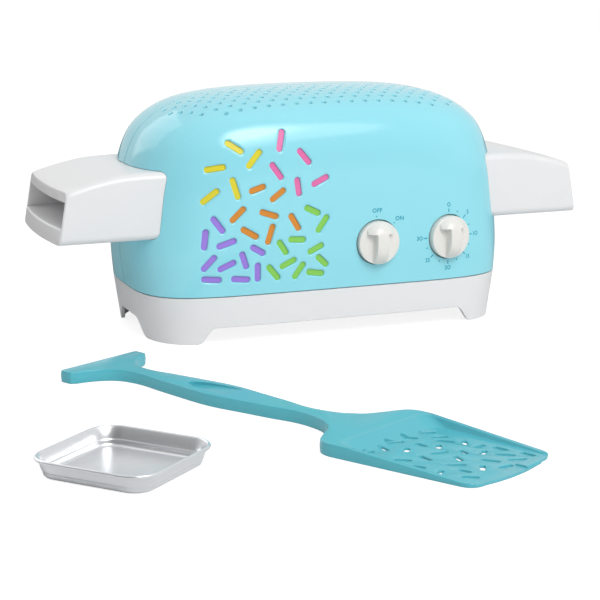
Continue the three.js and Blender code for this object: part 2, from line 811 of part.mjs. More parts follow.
function buildRoof() {
  const inner = tray_half_width + gap;
  const outer = inner + sheet;
  const section = outline([
    [-outer, roof_top],
    [-outer, roof_top - roof_skirt],
    [-inner, roof_top - roof_skirt],
    [-inner, roof_inner],
    [inner, roof_inner],
    [inner, roof_top - roof_skirt],
    [outer, roof_top - roof_skirt],
    [outer, roof_top],
  ]);
  const slots = [];
  for (let i = 0; i < heat_slot_count; i++) {
    const middle = heat_slot_middle_share * tunnel_half_length;
    const x = middle + (i - (heat_slot_count - 1) / 2) * heat_slot_pitch;
    slots.push(box(
      x - heat_slot_width / 2,
      x + heat_slot_width / 2,
      -heat_slot_length / 2,
      heat_slot_length / 2,
      roof_inner - overrun,
      roof_top + overrun,
    ));
  }
  return cut(prismX(section, -tunnel_half_length, tunnel_half_length), ...slots, ...pinHoles());
}

// A bent strip: foot on the deck, web, and a flange under the tunnel
function buildStand(side) {
  const low = deck_top + gap;
  const high = tray_bottom - gap;
  const section = outline([
    [stand_x - stand_flange, low],
    [stand_x, low],
    [stand_x, high],
    [stand_x - stand_flange, high],
    [stand_x - stand_flange, high - sheet],
    [stand_x - sheet, high - sheet],
    [stand_x - sheet, low + sheet],
    [stand_x - stand_flange, low + sheet],
  ]);
  const stand = prismY(section, -stand_half_width, stand_half_width);
  return side > 0 ? stand : turned(stand);
}

// A hanging plate with its upper edge rolled round the pin
function buildFlap(x) {
  const bore = flap_pin_radius + gap;
  const barrel = bore + flap_barrel_wall;
  const plate = box(
    x - sheet / 2,
    x + sheet / 2,
    -flap_half_width,
    flap_half_width,
    passage_floor + flap_floor_clearance,
    flap_pin_height - bore,
  );
  const roll = rodY(barrel, x, flap_pin_height, -flap_half_width, flap_half_width, flap_sides);
  const hole = rodY(
    bore,
    x,
    flap_pin_height,
    -flap_half_width - overrun,
    flap_half_width + overrun,
    flap_sides,
  );
  return cut(join(plate, roll), hole);
}

function buildPin(x) {
  const reach = tray_half_width + gap + sheet + gap;
  return rodY(flap_pin_radius, x, flap_pin_height, -reach, reach, flap_sides);
}

function buildRod() {
  const z = roof_top + rod_height;
  const rod_start_x = rod_start_share * tunnel_half_length;
  const rod_bend_x = rod_bend_share * tunnel_half_length;
  const path = new THREE.CurvePath();
  const bend = new THREE.CatmullRomCurve3(Array.from({ length: rod_bend_points }, (_, i) => {
    const angle = -Math.PI / 2 + i * Math.PI / (rod_bend_points - 1);
    return new THREE.Vector3(
      rod_bend_x + rod_half_spacing * Math.cos(angle),
      rod_half_spacing * Math.sin(angle),
      z,
    );
  }));
  path.add(new THREE.LineCurve3(
    new THREE.Vector3(rod_start_x, -rod_half_spacing, z),
    new THREE.Vector3(rod_bend_x, -rod_half_spacing, z),
  ));
  path.add(bend);
  path.add(new THREE.LineCurve3(
    new THREE.Vector3(rod_bend_x, rod_half_spacing, z),
    new THREE.Vector3(rod_start_x, rod_half_spacing, z),
  ));
  const section = new THREE.Shape().absarc(0, 0, rod_radius, 0, 2 * Math.PI);
  return toSolid(new THREE.ExtrudeGeometry(section, {
    steps: rod_steps,
    curveSegments: rod_sides,
    extrudePath: path,
    bevelEnabled: false,
  }));
}

function buildHolder(share) {
  const x = share * tunnel_half_length;
  const low = roof_top + gap;
  const block = box(
    x - holder_thickness / 2,
    x + holder_thickness / 2,
    -holder_half_width,
    holder_half_width,
    low,
    low + holder_height,
  );
  const holes = [-rod_half_spacing, rod_half_spacing].map((y) => rodX(
    rod_radius + gap,
    y,
    roof_top + rod_height,
    x - holder_thickness,
    x + holder_thickness,
    post_sides,
  ));
  return cut(block, ...holes);
}

function buildShield() {
  const low = roof_top + gap;
  const high = low + shield_height;
  const foot = shield_half_width + shield_foot;
  const half = [
    [foot, low],
    [foot, low + sheet],
    [shield_half_width, low + sheet],
    [shield_half_width, high],
  ];
  const inside = [
    [shield_half_width - sheet, high - sheet],
    [shield_half_width - sheet, low],
  ];
  const mirror = (points) => points.map(([y, z]) => [-y, z]).reverse();
  const section = outline([...half, ...mirror(half), ...mirror(inside), ...inside]);
  const reach = shield_length_share * tunnel_half_length;
  return prismX(section, -reach, reach);
}

function buildThermostat() {
  const low = roof_top + gap;
  const thermostat_x = thermostat_share * tunnel_half_length;
  return join(
    rodZ(thermostat_radius, thermostat_x, 0, low, low + thermostat_height, post_sides * 2),
    box(
      thermostat_x - thermostat_radius / 2,
      thermostat_x + thermostat_radius / 2,
      -thermostat_ear,
      thermostat_ear,
      low,
      low + thermostat_plate,
    ),
  );
}

function buildFuse() {
  const z = roof_top + gap + fuse_radius;
  const fuse_x = fuse_share * tunnel_half_length;
  const reach = fuse_length / 2 + fuse_lead_length;
  return join(
    rodY(fuse_radius, fuse_x, z, -fuse_length / 2, fuse_length / 2, post_sides),
    rodY(fuse_lead_radius, fuse_x, z, -reach, reach, rod_sides),
  );
}

// Body and threaded collar behind the well, bored for the shaft
function buildControlBody([width, depth, height]) {
  const front = well_back + gap;
  const body = box(-width / 2, width / 2, front, front + depth, -height / 2, height / 2);
  const collar = rodY(collar_radius, 0, 0, front - collar_length, front + overrun, shaft_sides);
  const bore = rodY(
    shaft_radius + gap,
    0,
    0,
    front - collar_length - overrun,
    front + shaft_into_body + gap,
    shaft_sides,
  );
  return cut(join(body, collar), bore);
}

function buildShaft() {
  const knob_back = well_depth - knob_lift;
  const back = well_back + gap + shaft_into_body;
  return rodY(shaft_radius, 0, 0, knob_back - shaft_into_knob, back, shaft_sides);
}

// A dome over the knob's disc, from its foot to its peak
function knobDome(foot, peak, first) {
  const points = [new THREE.Vector2(0, 0), new THREE.Vector2(knob_radius, 0), ...first];
  for (let i = knob_dome_steps - 1; i >= 0; i--) {
    const share = i / knob_dome_steps;
    const height = foot + (peak - foot) * (1 - share ** knob_dome_power);
    points.push(new THREE.Vector2(share * knob_radius, height));
  }
  return new THREE.LatheGeometry(points, knob_sides).rotateZ(Math.PI);
}

// A low disc under a T-shaped grip: a narrower dome with two pockets cut away below its bar
function buildKnob() {
  const back = well_depth - knob_lift;
  const rim = [new THREE.Vector2(knob_radius, knob_rim_height)];
  const disc = toSolid(knobDome(knob_rim_height, knob_disc_height, rim).translate(0, back, 0));
  const dome = toSolid(knobDome(knob_rim_height, knob_height, rim)
    .scale(knob_grip_share, 1, 1).translate(0, back, 0));
  const bar = knob_pocket_rise_share * knob_radius;
  const far = knob_radius + overrun;
  const pocket = (side) => prismY(
    outline([
      [side * rib_top_width / 2, bar],
      [side * far, bar],
      [side * far, -far],
      [side * rib_foot_width / 2, -far],
    ]),
    back - knob_height - overrun,
    back + overrun,
  );
  const grip = cut(dome, pocket(1), pocket(-1));
  const bore = rodY(
    shaft_radius + gap,
    0,
    0,
    back - shaft_into_knob - gap,
    back + overrun,
    shaft_sides,
  );
  return cut(join(disc, grip), bore);
}

function screwY(x, z, head_y, tip_y) {
  return join(
    rodY(screw_head_radius, x, z, head_y, head_y + screw_head_height, screw_sides),
    rodY(screw_radius, x, z, tip_y, head_y + gap, screw_sides),
  );
}

function screwZ(x, y, head_z, tip_z) {
  return join(
    rodZ(screw_head_radius, x, y, head_z - screw_head_height, head_z, screw_sides),
    rodZ(screw_radius, x, y, head_z - gap, tip_z, screw_sides),
  );
}

function buildTerminalBlock() {
  const x = block_place_shares[0] * body_half_length;
  const y = block_place_shares[1] * body_half_depth;
  const [width, depth, height] = block_size;
  const low = deck_top + gap;
  const block = box(x - width / 2, x + width / 2, y - depth / 2, y + depth / 2, low, low + height);
  const ports = [-1, 0, 1].map((i) => rodY(
    block_port_radius,
    x + i * block_port_pitch,
    low + height / 2,
    y - depth,
    y + depth,
    rod_sides,
  ));
  return cut(block, ...ports);
}

// A flanged sleeve in the rear shell, with a nut-like flange inside
function buildGland() {
  const outside = gap + gland_flange;
  const inside = -shell_wall - gap - gland_flange;
  const points = [
    [gland_bore, inside],
    [gland_flange_radius, inside],
    [gland_flange_radius, inside + gland_flange],
    [gland_radius, inside + gland_flange],
    [gland_radius, gap],
    [gland_flange_radius, gap],
    [gland_flange_radius, outside],
    [gland_bore, outside],
    [gland_bore, inside],
  ].map(([r, y]) => new THREE.Vector2(r, y));
  return toSolid(new THREE.LatheGeometry(points, gland_sides));
}

function panRing(half, height) {
  const radius = pan_corner - (pan_half - half);
  const ring = [];
  for (let corner = 0; corner < 4; corner++) {
    const turn = corner * Math.PI / 2;
    for (let i = 0; i < pan_corner_steps; i++) {
      const angle = turn + (i + 0.5) / pan_corner_steps * Math.PI / 2;
      const cx = Math.sign(Math.cos(turn + Math.PI / 4)) * (half - radius);
      const cy = Math.sign(Math.sin(turn + Math.PI / 4)) * (half - radius);
      ring.push(new THREE.Vector3(cx + radius * Math.cos(angle), cy + radius * Math.sin(angle), height));
    }
  }
  return ring;
}

// Pressed sheet: up the outside, over the rolled rim and down the inside
function buildPan() {
  const outside = pan_profile_shares.map(([inset, height]) => (
    panRing(pan_half - inset * pan_half, height * pan_depth)
  ));
  const wall_half = pan_half - pan_bead;
  const rim = [
    panRing(pan_half, pan_depth - pan_bead),
    panRing(pan_half - pan_bead / 4, pan_depth),
    panRing(wall_half - pan_sheet, pan_depth),
  ];
  const inside = pan_profile_shares.map(([inset, height]) => panRing(
    pan_half - inset * pan_half - pan_bead - pan_sheet / 2,
    pan_sheet + height * (pan_depth - pan_sheet),
  )).reverse();
  return loft([...outside, ...rim, ...inside]);
}

// Points of one long side of the tool, from the cross bar to the blade's front
function toolSide(inset) {
  const side = [[inset, tool_bar_half_width - inset]];
  side.push([tool_bar_length - inset, tool_bar_half_width - inset]);
  for (const [along, width] of tool_outline_shares) {
    side.push([along * tool_length, width * tool_half_width - inset]);
  }
  return side;
}

function toolShape(inset = 0) {
  const side = toolSide(inset);
  const shape = new THREE.Shape();
  const front = tool_length - inset;
  const half = blade_front_half_width - inset;
  const corner = blade_front_corner - inset;
  shape.moveTo(...side[0]);
  shape.lineTo(...side[1]);
  const mirrored = side.slice(2).map(([x, y]) => [x, -y]);
  shape.splineThru(side.slice(2).map(([x, y]) => new THREE.Vector2(x, y)));
  shape.lineTo(front - blade_front_bow - corner, half);
  shape.quadraticCurveTo(front - blade_front_bow, half, front - blade_front_bow, half - corner);
  shape.quadraticCurveTo(front + blade_front_bow, 0, front - blade_front_bow, corner - half);
  shape.quadraticCurveTo(front - blade_front_bow, -half, front - blade_front_bow - corner, -half);
  shape.lineTo(...mirrored[mirrored.length - 1]);
  shape.splineThru(mirrored.reverse().slice(1).map(([x, y]) => new THREE.Vector2(x, y)));
  shape.lineTo(side[1][0], -side[1][1]);
  shape.lineTo(side[0][0], -side[0][1]);
  return shape;
}

function buildTool() {
  const steps = 3;
  const spline_steps = 2;
  const plan = new THREE.Shape(toolShape().getPoints(spline_steps));
  const under = new THREE.Shape(toolShape(tool_wall).getPoints(spline_steps));
  const side_view = outline([
    [-overrun, 0],
    [tool_length + overrun, 0],
    [tool_length + overrun, blade_lip],
    [tool_length - blade_front_corner, blade_lip],
    [blade_slope_start, tool_thickness],
    [-overrun, tool_thickness],
  ]);
  const body = prismZ(plan, 0, tool_thickness, steps).intersect(
    prismY(side_view, -2 * tool_half_width, 2 * tool_half_width),
  );
  const ceiling = tool_thickness - thumb_depth - tool_wall;
  const hollow = prismZ(under, -overrun, ceiling, steps).intersect(
    box(-overrun, blade_recess_start - tool_wall, -tool_half_width, tool_half_width, -overrun, ceiling),
  );
  const recess = outline([
    [blade_recess_start, blade_rim - tool_half_width + blade_front_corner / 2],
    [blade_recess_start + blade_front_corner / 2, blade_rim - tool_half_width],
    [tool_length - blade_front_corner, blade_rim - blade_front_half_width],
    [tool_length + overrun, blade_rim - blade_front_half_width],
    [tool_length + overrun, blade_front_half_width - blade_rim],
    [tool_length - blade_front_corner, blade_front_half_width - blade_rim],
    [blade_recess_start + blade_front_corner / 2, tool_half_width - blade_rim],
    [blade_recess_start, tool_half_width - blade_rim - blade_front_corner / 2],
  ]);
  const thumb_plan = new THREE.Shape();
  thumb_plan.absellipse(thumb_end, 0, thumb_length, thumb_half_width, Math.PI / 2, 3 * Math.PI / 2);
  const ramp = outline([
    [thumb_end - thumb_length - overrun, tool_thickness - thumb_depth],
    [thumb_end, tool_thickness],
    [thumb_end, tool_thickness + overrun],
    [thumb_end - thumb_length - overrun, tool_thickness + overrun],
  ]);
  const thumb = prismZ(thumb_plan, 0, 2 * tool_thickness).intersect(
    prismY(ramp, -tool_half_width, tool_half_width),
  );
  const slots = blade_slot_shares.map(([x, y, angle, length]) => prismZ(
    capsuleShape(
      x * tool_length,
      y * tool_half_width,
      angle,
      length * tool_half_width,
      blade_slot_width,
    ),
    -overrun,
    2 * blade_floor,
    1,
  ));
  return cut(body, hollow, prismZ(recess, blade_floor, 2 * tool_thickness), thumb, ...slots);
}

// Oven
const [front_shell, rear_shell] = buildShells();
piece('base', buildBase(), white);
piece('front_shell', front_shell, aqua);
piece('rear_shell', rear_shell, aqua);
for (const [color, { outline: shares }] of Object.entries(inlay_shares)) {
  piece(`${color}_inlay`, buildInlay(shares), inlay_materials[color]);
}
const chute = buildChute();
piece('outlet_chute', chute, white);
piece('inlet_chute', turned(chute), white);
piece('tunnel_tray', buildTray(), galvanised);
piece('tunnel_roof', buildRoof(), galvanised);
piece('left_stand', buildStand(-1), galvanised);
piece('right_stand', buildStand(1), galvanised);
piece('inlet_flap', buildFlap(-flap_x), bright_steel);
piece('outlet_flap', buildFlap(flap_x), bright_steel);
piece('inlet_flap_pin', buildPin(-flap_x), bright_steel);
piece('outlet_flap_pin', buildPin(flap_x), bright_steel);
piece('heating_rod', buildRod(), heater_steel);
holder_place_shares.forEach((share, i) => {
  piece(`rod_holder_${i + 1}`, buildHolder(share), ceramic);
});
piece('heat_shield', buildShield(), bright_steel);
piece('thermostat', buildThermostat(), bright_steel);
piece('thermal_fuse', buildFuse(), ceramic);
piece('terminal_block', buildTerminalBlock(), ceramic);
piece('cord_gland', buildGland(), bakelite, cord_inlet);
post_places.forEach(([x, z], i) => {
  piece(`shell_screw_${i + 1}`, screwY(x, z, head_seat + gap, -shell_screw_reach), bright_steel);
});
let screw_number = 1;
for (const x of [-base_boss_x, base_boss_x]) {
  for (const y of [-base_boss_y, base_boss_y]) {
    const screw = screwZ(x, y, deck_bottom - gap, deck_top + base_screw_reach);
    piece(`base_screw_${screw_number++}`, screw, bright_steel);
  }
}

// Controls
piece('power_switch', buildControlBody(switch_size), bakelite, power_control);
piece('power_shaft', buildShaft(), bright_steel, power_control);
piece('power_knob', buildKnob(), knob_white, power_control);
piece('timer_unit', buildControlBody(timer_size), galvanised, timer_control);
piece('timer_shaft', buildShaft(), bright_steel, timer_control);
piece('timer_knob', buildKnob(), knob_white, timer_control);

// Pan and tool, lying in front
const pan = new THREE.Group();
pan.position.set(...pan_place, 0);
pan.rotation.z = THREE.MathUtils.degToRad(pan_turn_deg);
piece('baking_pan', buildPan(), aluminium, pan);
const tool = new THREE.Group();
tool.position.set(...tool_place, 0);
tool.rotation.z = THREE.MathUtils.degToRad(tool_turn_deg);
piece('pan_tool', buildTool(), teal, tool);
set.add(pan, tool);

// The set is centred over its own origin
set.updateMatrixWorld(true);
const bounds = new THREE.Box3().setFromObject(set, true);
const middle = bounds.getCenter(new THREE.Vector3());
set.position.set(-middle.x, -middle.y, 0);

export default set;
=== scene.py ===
# %% [markdown]
# # A toy oven with its baking pan and pan tool
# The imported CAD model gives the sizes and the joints. This script gives the looks: smooth
# mouldings with rounded rims, perforations, printed dials, pressed aluminium and coloured
# plastics. Shapes are made in millimetres round the oven's middle and moved into the frame,
# which is in metres, as each piece is finished.

from functools import partial
from math import comb, cos, degrees, pi, radians, sin

import bmesh
import bpy
import numpy as np
from mathutils import Matrix, Vector
from mathutils.bvhtree import BVHTree


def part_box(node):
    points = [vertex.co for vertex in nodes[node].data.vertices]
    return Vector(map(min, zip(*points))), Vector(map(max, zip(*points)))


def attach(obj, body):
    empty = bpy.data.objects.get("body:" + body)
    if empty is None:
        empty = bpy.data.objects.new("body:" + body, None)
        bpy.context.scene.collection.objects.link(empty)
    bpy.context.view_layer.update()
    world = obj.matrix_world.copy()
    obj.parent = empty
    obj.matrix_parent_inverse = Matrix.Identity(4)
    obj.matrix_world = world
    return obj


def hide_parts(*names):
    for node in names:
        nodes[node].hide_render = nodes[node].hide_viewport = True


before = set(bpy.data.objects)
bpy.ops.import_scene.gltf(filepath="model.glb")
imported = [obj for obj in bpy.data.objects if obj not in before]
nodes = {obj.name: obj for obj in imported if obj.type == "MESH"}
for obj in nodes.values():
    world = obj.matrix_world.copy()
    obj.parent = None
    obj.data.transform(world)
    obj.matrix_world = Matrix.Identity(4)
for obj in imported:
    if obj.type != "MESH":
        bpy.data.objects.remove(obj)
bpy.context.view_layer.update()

# %% [markdown]
# The origin of the frame is the middle of the whole set, so the oven stands a little to one
# side of it. The base is a symmetric moulding, and the middle of its box is the oven's axis.

# %% Where the oven, the pan and the tool stand
low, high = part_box("base")
oven_middle = Vector(((low.x + high.x) / 2, (low.y + high.y) / 2, 0))
oven_place = Matrix.Translation(oven_middle) @ Matrix.Scale(0.001, 4)


def on_floor(x_mm, y_mm, turn_deg):
    """Place of a loose piece that lies on the floor, measured from the oven's middle."""
    turn = Matrix.Rotation(radians(turn_deg), 4, "Z")
    return oven_place @ Matrix.Translation((x_mm, y_mm, 0)) @ turn


pan_place = on_floor(-278, -384, -49)
tool_place = on_floor(-228, -134, -62)
print("oven axis in metres:", [round(value, 4) for value in oven_middle])

# %% [markdown]
# The photograph was taken with a long lens from a little above and to the left of the front.
# A 108 mm lens on a 36 mm sensor gives the same flat perspective.

# %% Camera


def in_scene(name, data):
    """A new object that shows the data."""
    made = bpy.data.objects.new(name, data)
    bpy.context.scene.collection.objects.link(made)
    return made


look_down_deg = 12.5922
look_right_deg = 21.2413
camera = in_scene("camera", bpy.data.cameras.new("camera"))
camera.data.lens = 108
camera.data.sensor_width = 36
camera.location = oven_middle + Vector((-0.580317, -1.482591, 0.367607))
camera.rotation_euler = (radians(90 - look_down_deg), 0, radians(-look_right_deg))
bpy.context.scene.camera = camera
print("camera height in metres:", round(camera.location.z, 3))

# %% [markdown]
# Materials and Geometry Nodes are both trees of nodes. One small function adds a node, gives
# it its settings and wires its inputs. A colour is written as it looks on a screen, and is
# turned to the linear value that light adds up in.

# %% A node, and a colour


def add(tree, kind, inputs=(), **settings):
    """A new node. A Math node's kind ends in its operation, as in ShaderNodeMath/ADD.
    Inputs go by name or in order. Each is a value, or a node or socket that feeds it."""
    kind, _, operation = kind.partition("/")
    if operation:
        settings["operation"] = operation
    made = tree.nodes.new(kind)
    for name, value in settings.items():
        setattr(made, name, value)
    for name, value in inputs.items() if isinstance(inputs, dict) else enumerate(inputs):
        if isinstance(value, bpy.types.Node):
            value = value.outputs[0]
        if isinstance(value, bpy.types.NodeSocket):
            tree.links.new(value, made.inputs[name])
        else:
            made.inputs[name].default_value = value
    return made


def linear(hex_colour):
    """An sRGB colour such as #96e1ee as a linear one."""
    shares = [int(hex_colour[i : i + 2], 16) / 255 for i in (1, 3, 5)]
    return (*[s / 12.92 if s <= 0.04045 else ((s + 0.055) / 1.055) ** 2.4 for s in shares], 1)


def per_mm(size_mm):
    """Scale of a texture on coordinates in metres whose features are about that big."""
    return 1000 / size_mm


print("aqua in linear light:", [round(value, 3) for value in linear("#96e1ee")])

# %% [markdown]
# Every finish here is a Principled shader that patterns drive: one mixes two near colours,
# one makes the gloss uneven, and one is a relief too fine to model. All patterns lie on
# Object coordinates, so they stay with a piece when it moves.

# %% Start a finish and dress it


def new_finish(name, **plain):
    """A new material with plain values on its shader, its tree and the place on a piece."""
    finish = bpy.data.materials.new(name)
    finish.use_nodes = True
    tree = finish.node_tree
    for label, value in plain.items():
        tree.nodes["Principled BSDF"].inputs[label].default_value = value
    return finish, tree, add(tree, "ShaderNodeTexCoord").outputs["Object"]


def dress(tree, tint, gloss, relief):
    """Wires a pattern with two colours, one with a roughness and its spread, and a relief."""
    shader = tree.nodes["Principled BSDF"]
    pattern, colour, other = tint
    colours = {0: pattern, 6: linear(colour), 7: linear(other)}
    mixed = add(tree, "ShaderNodeMix", colours, data_type="RGBA")
    tree.links.new(mixed.outputs[2], shader.inputs["Base Color"])
    if gloss:
        pattern, middle, spread = gloss
        limits = {"Value": pattern, "To Min": middle - spread, "To Max": middle + spread}
        uneven = add(tree, "ShaderNodeMapRange", limits)
        tree.links.new(uneven.outputs[0], shader.inputs["Roughness"])
    tree.links.new(add(tree, "ShaderNodeBump", relief).outputs[0], shader.inputs["Normal"])


print("patterns lie on Object coordinates in metres")

# %% [markdown]
# The housing, knobs and tool are injection-moulded ABS, a hard plastic that takes a gloss
# from a polished mould. The eye sees a clear highlight with a very slightly wavy edge, from
# shrinkage, and a hairline of light along every rim, because no moulded edge is sharp. A
# Bevel node rounds those edges for the light, and two noises give the waviness and a faint
# drift of the colour. ABS has an IOR of 1.54.

# %% Moulded ABS
wave_depth_mm = 0.012


def moulded_abs(name, colour, deeper, roughness, rim_mm=0.6, wave_mm=9):
    """Glossy moulded ABS: its colour, the same a little deeper, and the radius of its rims."""
    finish, tree, place = new_finish(name, IOR=1.54)
    drift, grain, waves = (
        add(tree, "ShaderNodeTexNoise", {"Vector": place, "Scale": per_mm(size), "Detail": detail})
        for size, detail in ((60, 2.0), (1.2, 3.0), (wave_mm, 1.0))
    )
    rim = add(tree, "ShaderNodeBevel", {"Radius": rim_mm / 1000}, samples=6)
    relief = {"Height": waves, "Distance": wave_depth_mm / 1000, "Normal": rim}
    dress(tree, (drift, colour, deeper), (grain, roughness, 0.03), relief)
    return finish


aqua_abs = moulded_abs("aqua_abs", "#96e1ee", "#92deec", 0.12)
white_abs = moulded_abs("white_abs", "#eaeaeb", "#e7e7e8", 0.3, rim_mm=1.0)
knob_abs = moulded_abs("knob_white_abs", "#eae8e3", "#e6e4df", 0.28, rim_mm=0.4)
tool_abs = moulded_abs("teal_abs", "#56bac8", "#51b5c4", 0.24, rim_mm=0.8)
inlay_colours = {
    "yellow": ("#ecda30", "#e5d22b"),
    "pink": ("#ee75af", "#e86aa8"),
    "orange": ("#e48e28", "#dd8624"),
    "green": ("#8fd557", "#88cc52"),
    "purple": ("#a582e3", "#9c79db"),
}
inlay_abs = {
    colour: moulded_abs(f"{colour}_abs", *pair, 0.3) for colour, pair in inlay_colours.items()
}
print("inlay plastics:", ", ".join(inlay_abs))

# %% [markdown]
# The dials are pad-printed: a soft stamp lays down a film of ink a few hundredths of a
# millimetre thick. Ink is a shade duller than the plastic under it and a little uneven.

# %% Pad-printed ink
dial_ink = moulded_abs("pad_printed_ink", "#0397b4", "#0c9fba", 0.45, rim_mm=0.05, wave_mm=1)
print("ink:", dial_ink.name)

# %% [markdown]
# The pan is pressed from aluminium sheet. Rolling leaves fine parallel lines across the
# sheet, and drawing it into the die stretches the walls, so the floor looks satin and the
# walls streaky. Lines of real width, a few hundredths of a millimetre, would not show, so
# they are drawn about a millimetre apart. Plated, galvanised and oxidised steel inside the
# oven have the same kind of grain in other sizes.

# %% Metals


def sheet_metal(name, colour, dull, roughness, spread, grain_mm, turn_deg=0, depth_mm=0.004):
    """Bare metal whose grain has the three sizes given along x, y and z."""
    finish, tree, place = new_finish(name, Metallic=1.0)
    turn = (0, 0, radians(turn_deg))
    scale = tuple(per_mm(size) for size in grain_mm)
    turned = add(tree, "ShaderNodeMapping", {"Vector": place, "Rotation": turn, "Scale": scale})
    grain = add(tree, "ShaderNodeTexNoise", {"Vector": turned, "Scale": 1.0, "Detail": 4.0})
    relief = {"Height": grain, "Distance": depth_mm / 1000}
    dress(tree, (grain, colour, dull), (grain, roughness, spread), relief)
    return finish


pan_aluminium = sheet_metal(
    "pressed_aluminium", "#e8eaec", "#dcdee1", 0.29, 0.03, (60, 1.1, 1.4), 49, 0.0005
)
galvanised_steel = sheet_metal("galvanised_steel", "#b9bdc0", "#9ea3a7", 0.45, 0.12, (12, 9, 9))
plated_steel = sheet_metal("zinc_plated_steel", "#c9cacb", "#b4b6b8", 0.3, 0.08, (20, 0.5, 0.5))
heater_steel = sheet_metal("oxidised_heater_steel", "#75706a", "#4f4a46", 0.55, 0.1, (3, 3, 3))
print("metals:", *(m.name for m in (pan_aluminium, galvanised_steel, plated_steel, heater_steel)))

# %% [markdown]
# Inside are two more materials: steatite, the unglazed white ceramic that holds heating
# rods, and black phenolic, the heat-proof moulding round switch contacts. Both are matt, and
# the ceramic has a fine dry grain.

# %% Ceramic and phenolic


def matt_grain(name, colour, speck, roughness, grain_mm, depth_mm):
    """A dry matt surface with a fine grain."""
    finish, tree, place = new_finish(name, Roughness=roughness)
    grain_inputs = {"Vector": place, "Scale": per_mm(grain_mm), "Detail": 5.0}
    grain = add(tree, "ShaderNodeTexNoise", grain_inputs)
    dress(tree, (grain, colour, speck), None, {"Height": grain, "Distance": depth_mm / 1000})
    return finish


steatite = matt_grain("steatite_ceramic", "#ebe6da", "#dcd6c8", 0.8, 0.8, 0.05)
phenolic = matt_grain("black_phenolic", "#2d2d30", "#232326", 0.5, 1.5, 0.02)
print("insulators:", steatite.name, phenolic.name)

# %% [markdown]
# Most mouldings here are lofts: a row of outlines joined by strips of faces. Each outline
# runs round its mirror line, so an end can be closed by strips that join its two halves. A
# curve drawn from a few chosen stations is smoothed with cubic steps between them.

# %% Lofts, prisms and rods


def clean(piece):
    """Merges doubled points and turns every face outwards."""
    work = bmesh.new()
    work.from_mesh(piece.data)
    bmesh.ops.remove_doubles(work, verts=work.verts, dist=1e-5)
    bmesh.ops.dissolve_degenerate(work, edges=work.edges, dist=1e-6)
    bmesh.ops.recalc_face_normals(work, faces=work.faces)
    work.to_mesh(piece.data)
    work.free()
    return piece


def mesh_object(name, points, faces=()):
    """A new object in the scene from points and faces, cleaned."""
    mesh = bpy.data.meshes.new(name)
    mesh.from_pydata([tuple(map(float, point)) for point in points], [], faces)
    return clean(in_scene(name, mesh))


def loft(name, rings, flat_ends=False):
    """A closed skin over rings of equal size, each a list of (x, y, z)."""
    rings = [np.asarray(ring, float) for ring in rings]
    count = len(rings[0])
    last = (len(rings) - 1) * count
    faces = []
    for row in range(0, last, count):
        for i in range(count):
            a, b = row + i, row + (i + 1) % count
            faces.append((a, b, b + count, a + count))
    if flat_ends:
        faces += [tuple(range(count - 1, -1, -1)), tuple(range(last, last + count))]
    else:
        for i in range(count // 2 - 1):
            far = count - 1 - i
            faces.append((last + i, last + i + 1, last + far - 1, last + far))
            faces.append((i + 1, i, far, far - 1))
    return mesh_object(name, np.concatenate(rings), faces)


def at_height(outline, z):
    """A flat outline as a ring at one height."""
    return np.column_stack([outline, np.full(len(outline), z)])


def prism(name, outline, low_end, high_end, axis):
    """A flat outline drawn out along an axis: 'x' takes (y, z), 'y' takes (x, z), 'z' (x, y)."""
    order = {"x": (2, 0, 1), "y": (0, 2, 1), "z": (0, 1, 2)}[axis]
    rings = [at_height(outline, end)[:, order] for end in (low_end, high_end)]
    return loft(name, rings, flat_ends=True)


def circle(sides):
    """Angles of a circle's points, none of them on an axis."""
    return (np.arange(sides) + 0.5) * 2 * pi / sides


def rod(name, radius, centre, low_end, high_end, axis, sides):
    """A round prism."""
    angles = circle(sides)
    outline = [centre[0] + radius * np.cos(angles), centre[1] + radius * np.sin(angles)]
    return prism(name, np.column_stack(outline), low_end, high_end, axis)


def block(name, x0, x1, y0, y1, z0, z1):
    """A box between six planes, used as a limit."""
    return prism(name, [(x0, y0), (x1, y0), (x1, y1), (x0, y1)], z0, z1, "z")


print("a circle of six starts at", round(degrees(circle(6)[0])), "degrees")

# %% Smooth rows, bends, rounded edges and mirrored outlines


def smooth_rows(rows, steps):
    """Cubic steps between rows of numbers, by their first column."""
    rows = np.asarray(rows, float)
    at = rows[:, 0]
    slopes = np.gradient(rows, at, axis=0)
    places = [np.linspace(a, b, steps, endpoint=False) for a, b in zip(at, at[1:])]
    places = np.concatenate([*places, at[-1:]])
    first = np.clip(np.searchsorted(at, places, side="right") - 1, 0, len(at) - 2)
    run = (at[first + 1] - at[first])[:, None]
    t = (places - at[first])[:, None] / run
    return (
        (2 * t**3 - 3 * t**2 + 1) * rows[first]
        + (t**3 - 2 * t**2 + t) * run * slopes[first]
        + (3 * t**2 - 2 * t**3) * rows[first + 1]
        + (t**3 - t**2) * run * slopes[first + 1]
    )


def bend(*points, steps):
    """A Bezier curve through its first and last point, drawn by those between."""
    t = np.linspace(0, 1, steps + 1)[:, None]
    last = len(points) - 1
    parts = [
        comb(last, k) * (1 - t) ** (last - k) * t**k * np.array(point, float)
        for k, point in enumerate(points)
    ]
    return list(map(tuple, sum(parts)))


def rounded_edge(radius, steps):
    """Rings of a rounded edge, from its side to its face: how far in, and how far to go."""
    turns = np.linspace(0, pi / 2, steps)
    return [(radius * (1 - cos(turn)), radius * (1 - sin(turn))) for turn in turns]


def mirrored(half):
    """Half an outline and its mirror image, as one ring."""
    return half + [(a, -b) for a, b in half[::-1]]


print("a bend in one step:", bend((0, 0), (1, 0), (1, 1), steps=1))


# %% [markdown]
# Cut-outs and joins are made with Boolean modifiers on closed meshes. Each result is turned
# to a plain mesh at once, and the helper object is deleted.

# %% Boolean steps
overrun = 2  # how far a cut reaches past what it cuts, in mm


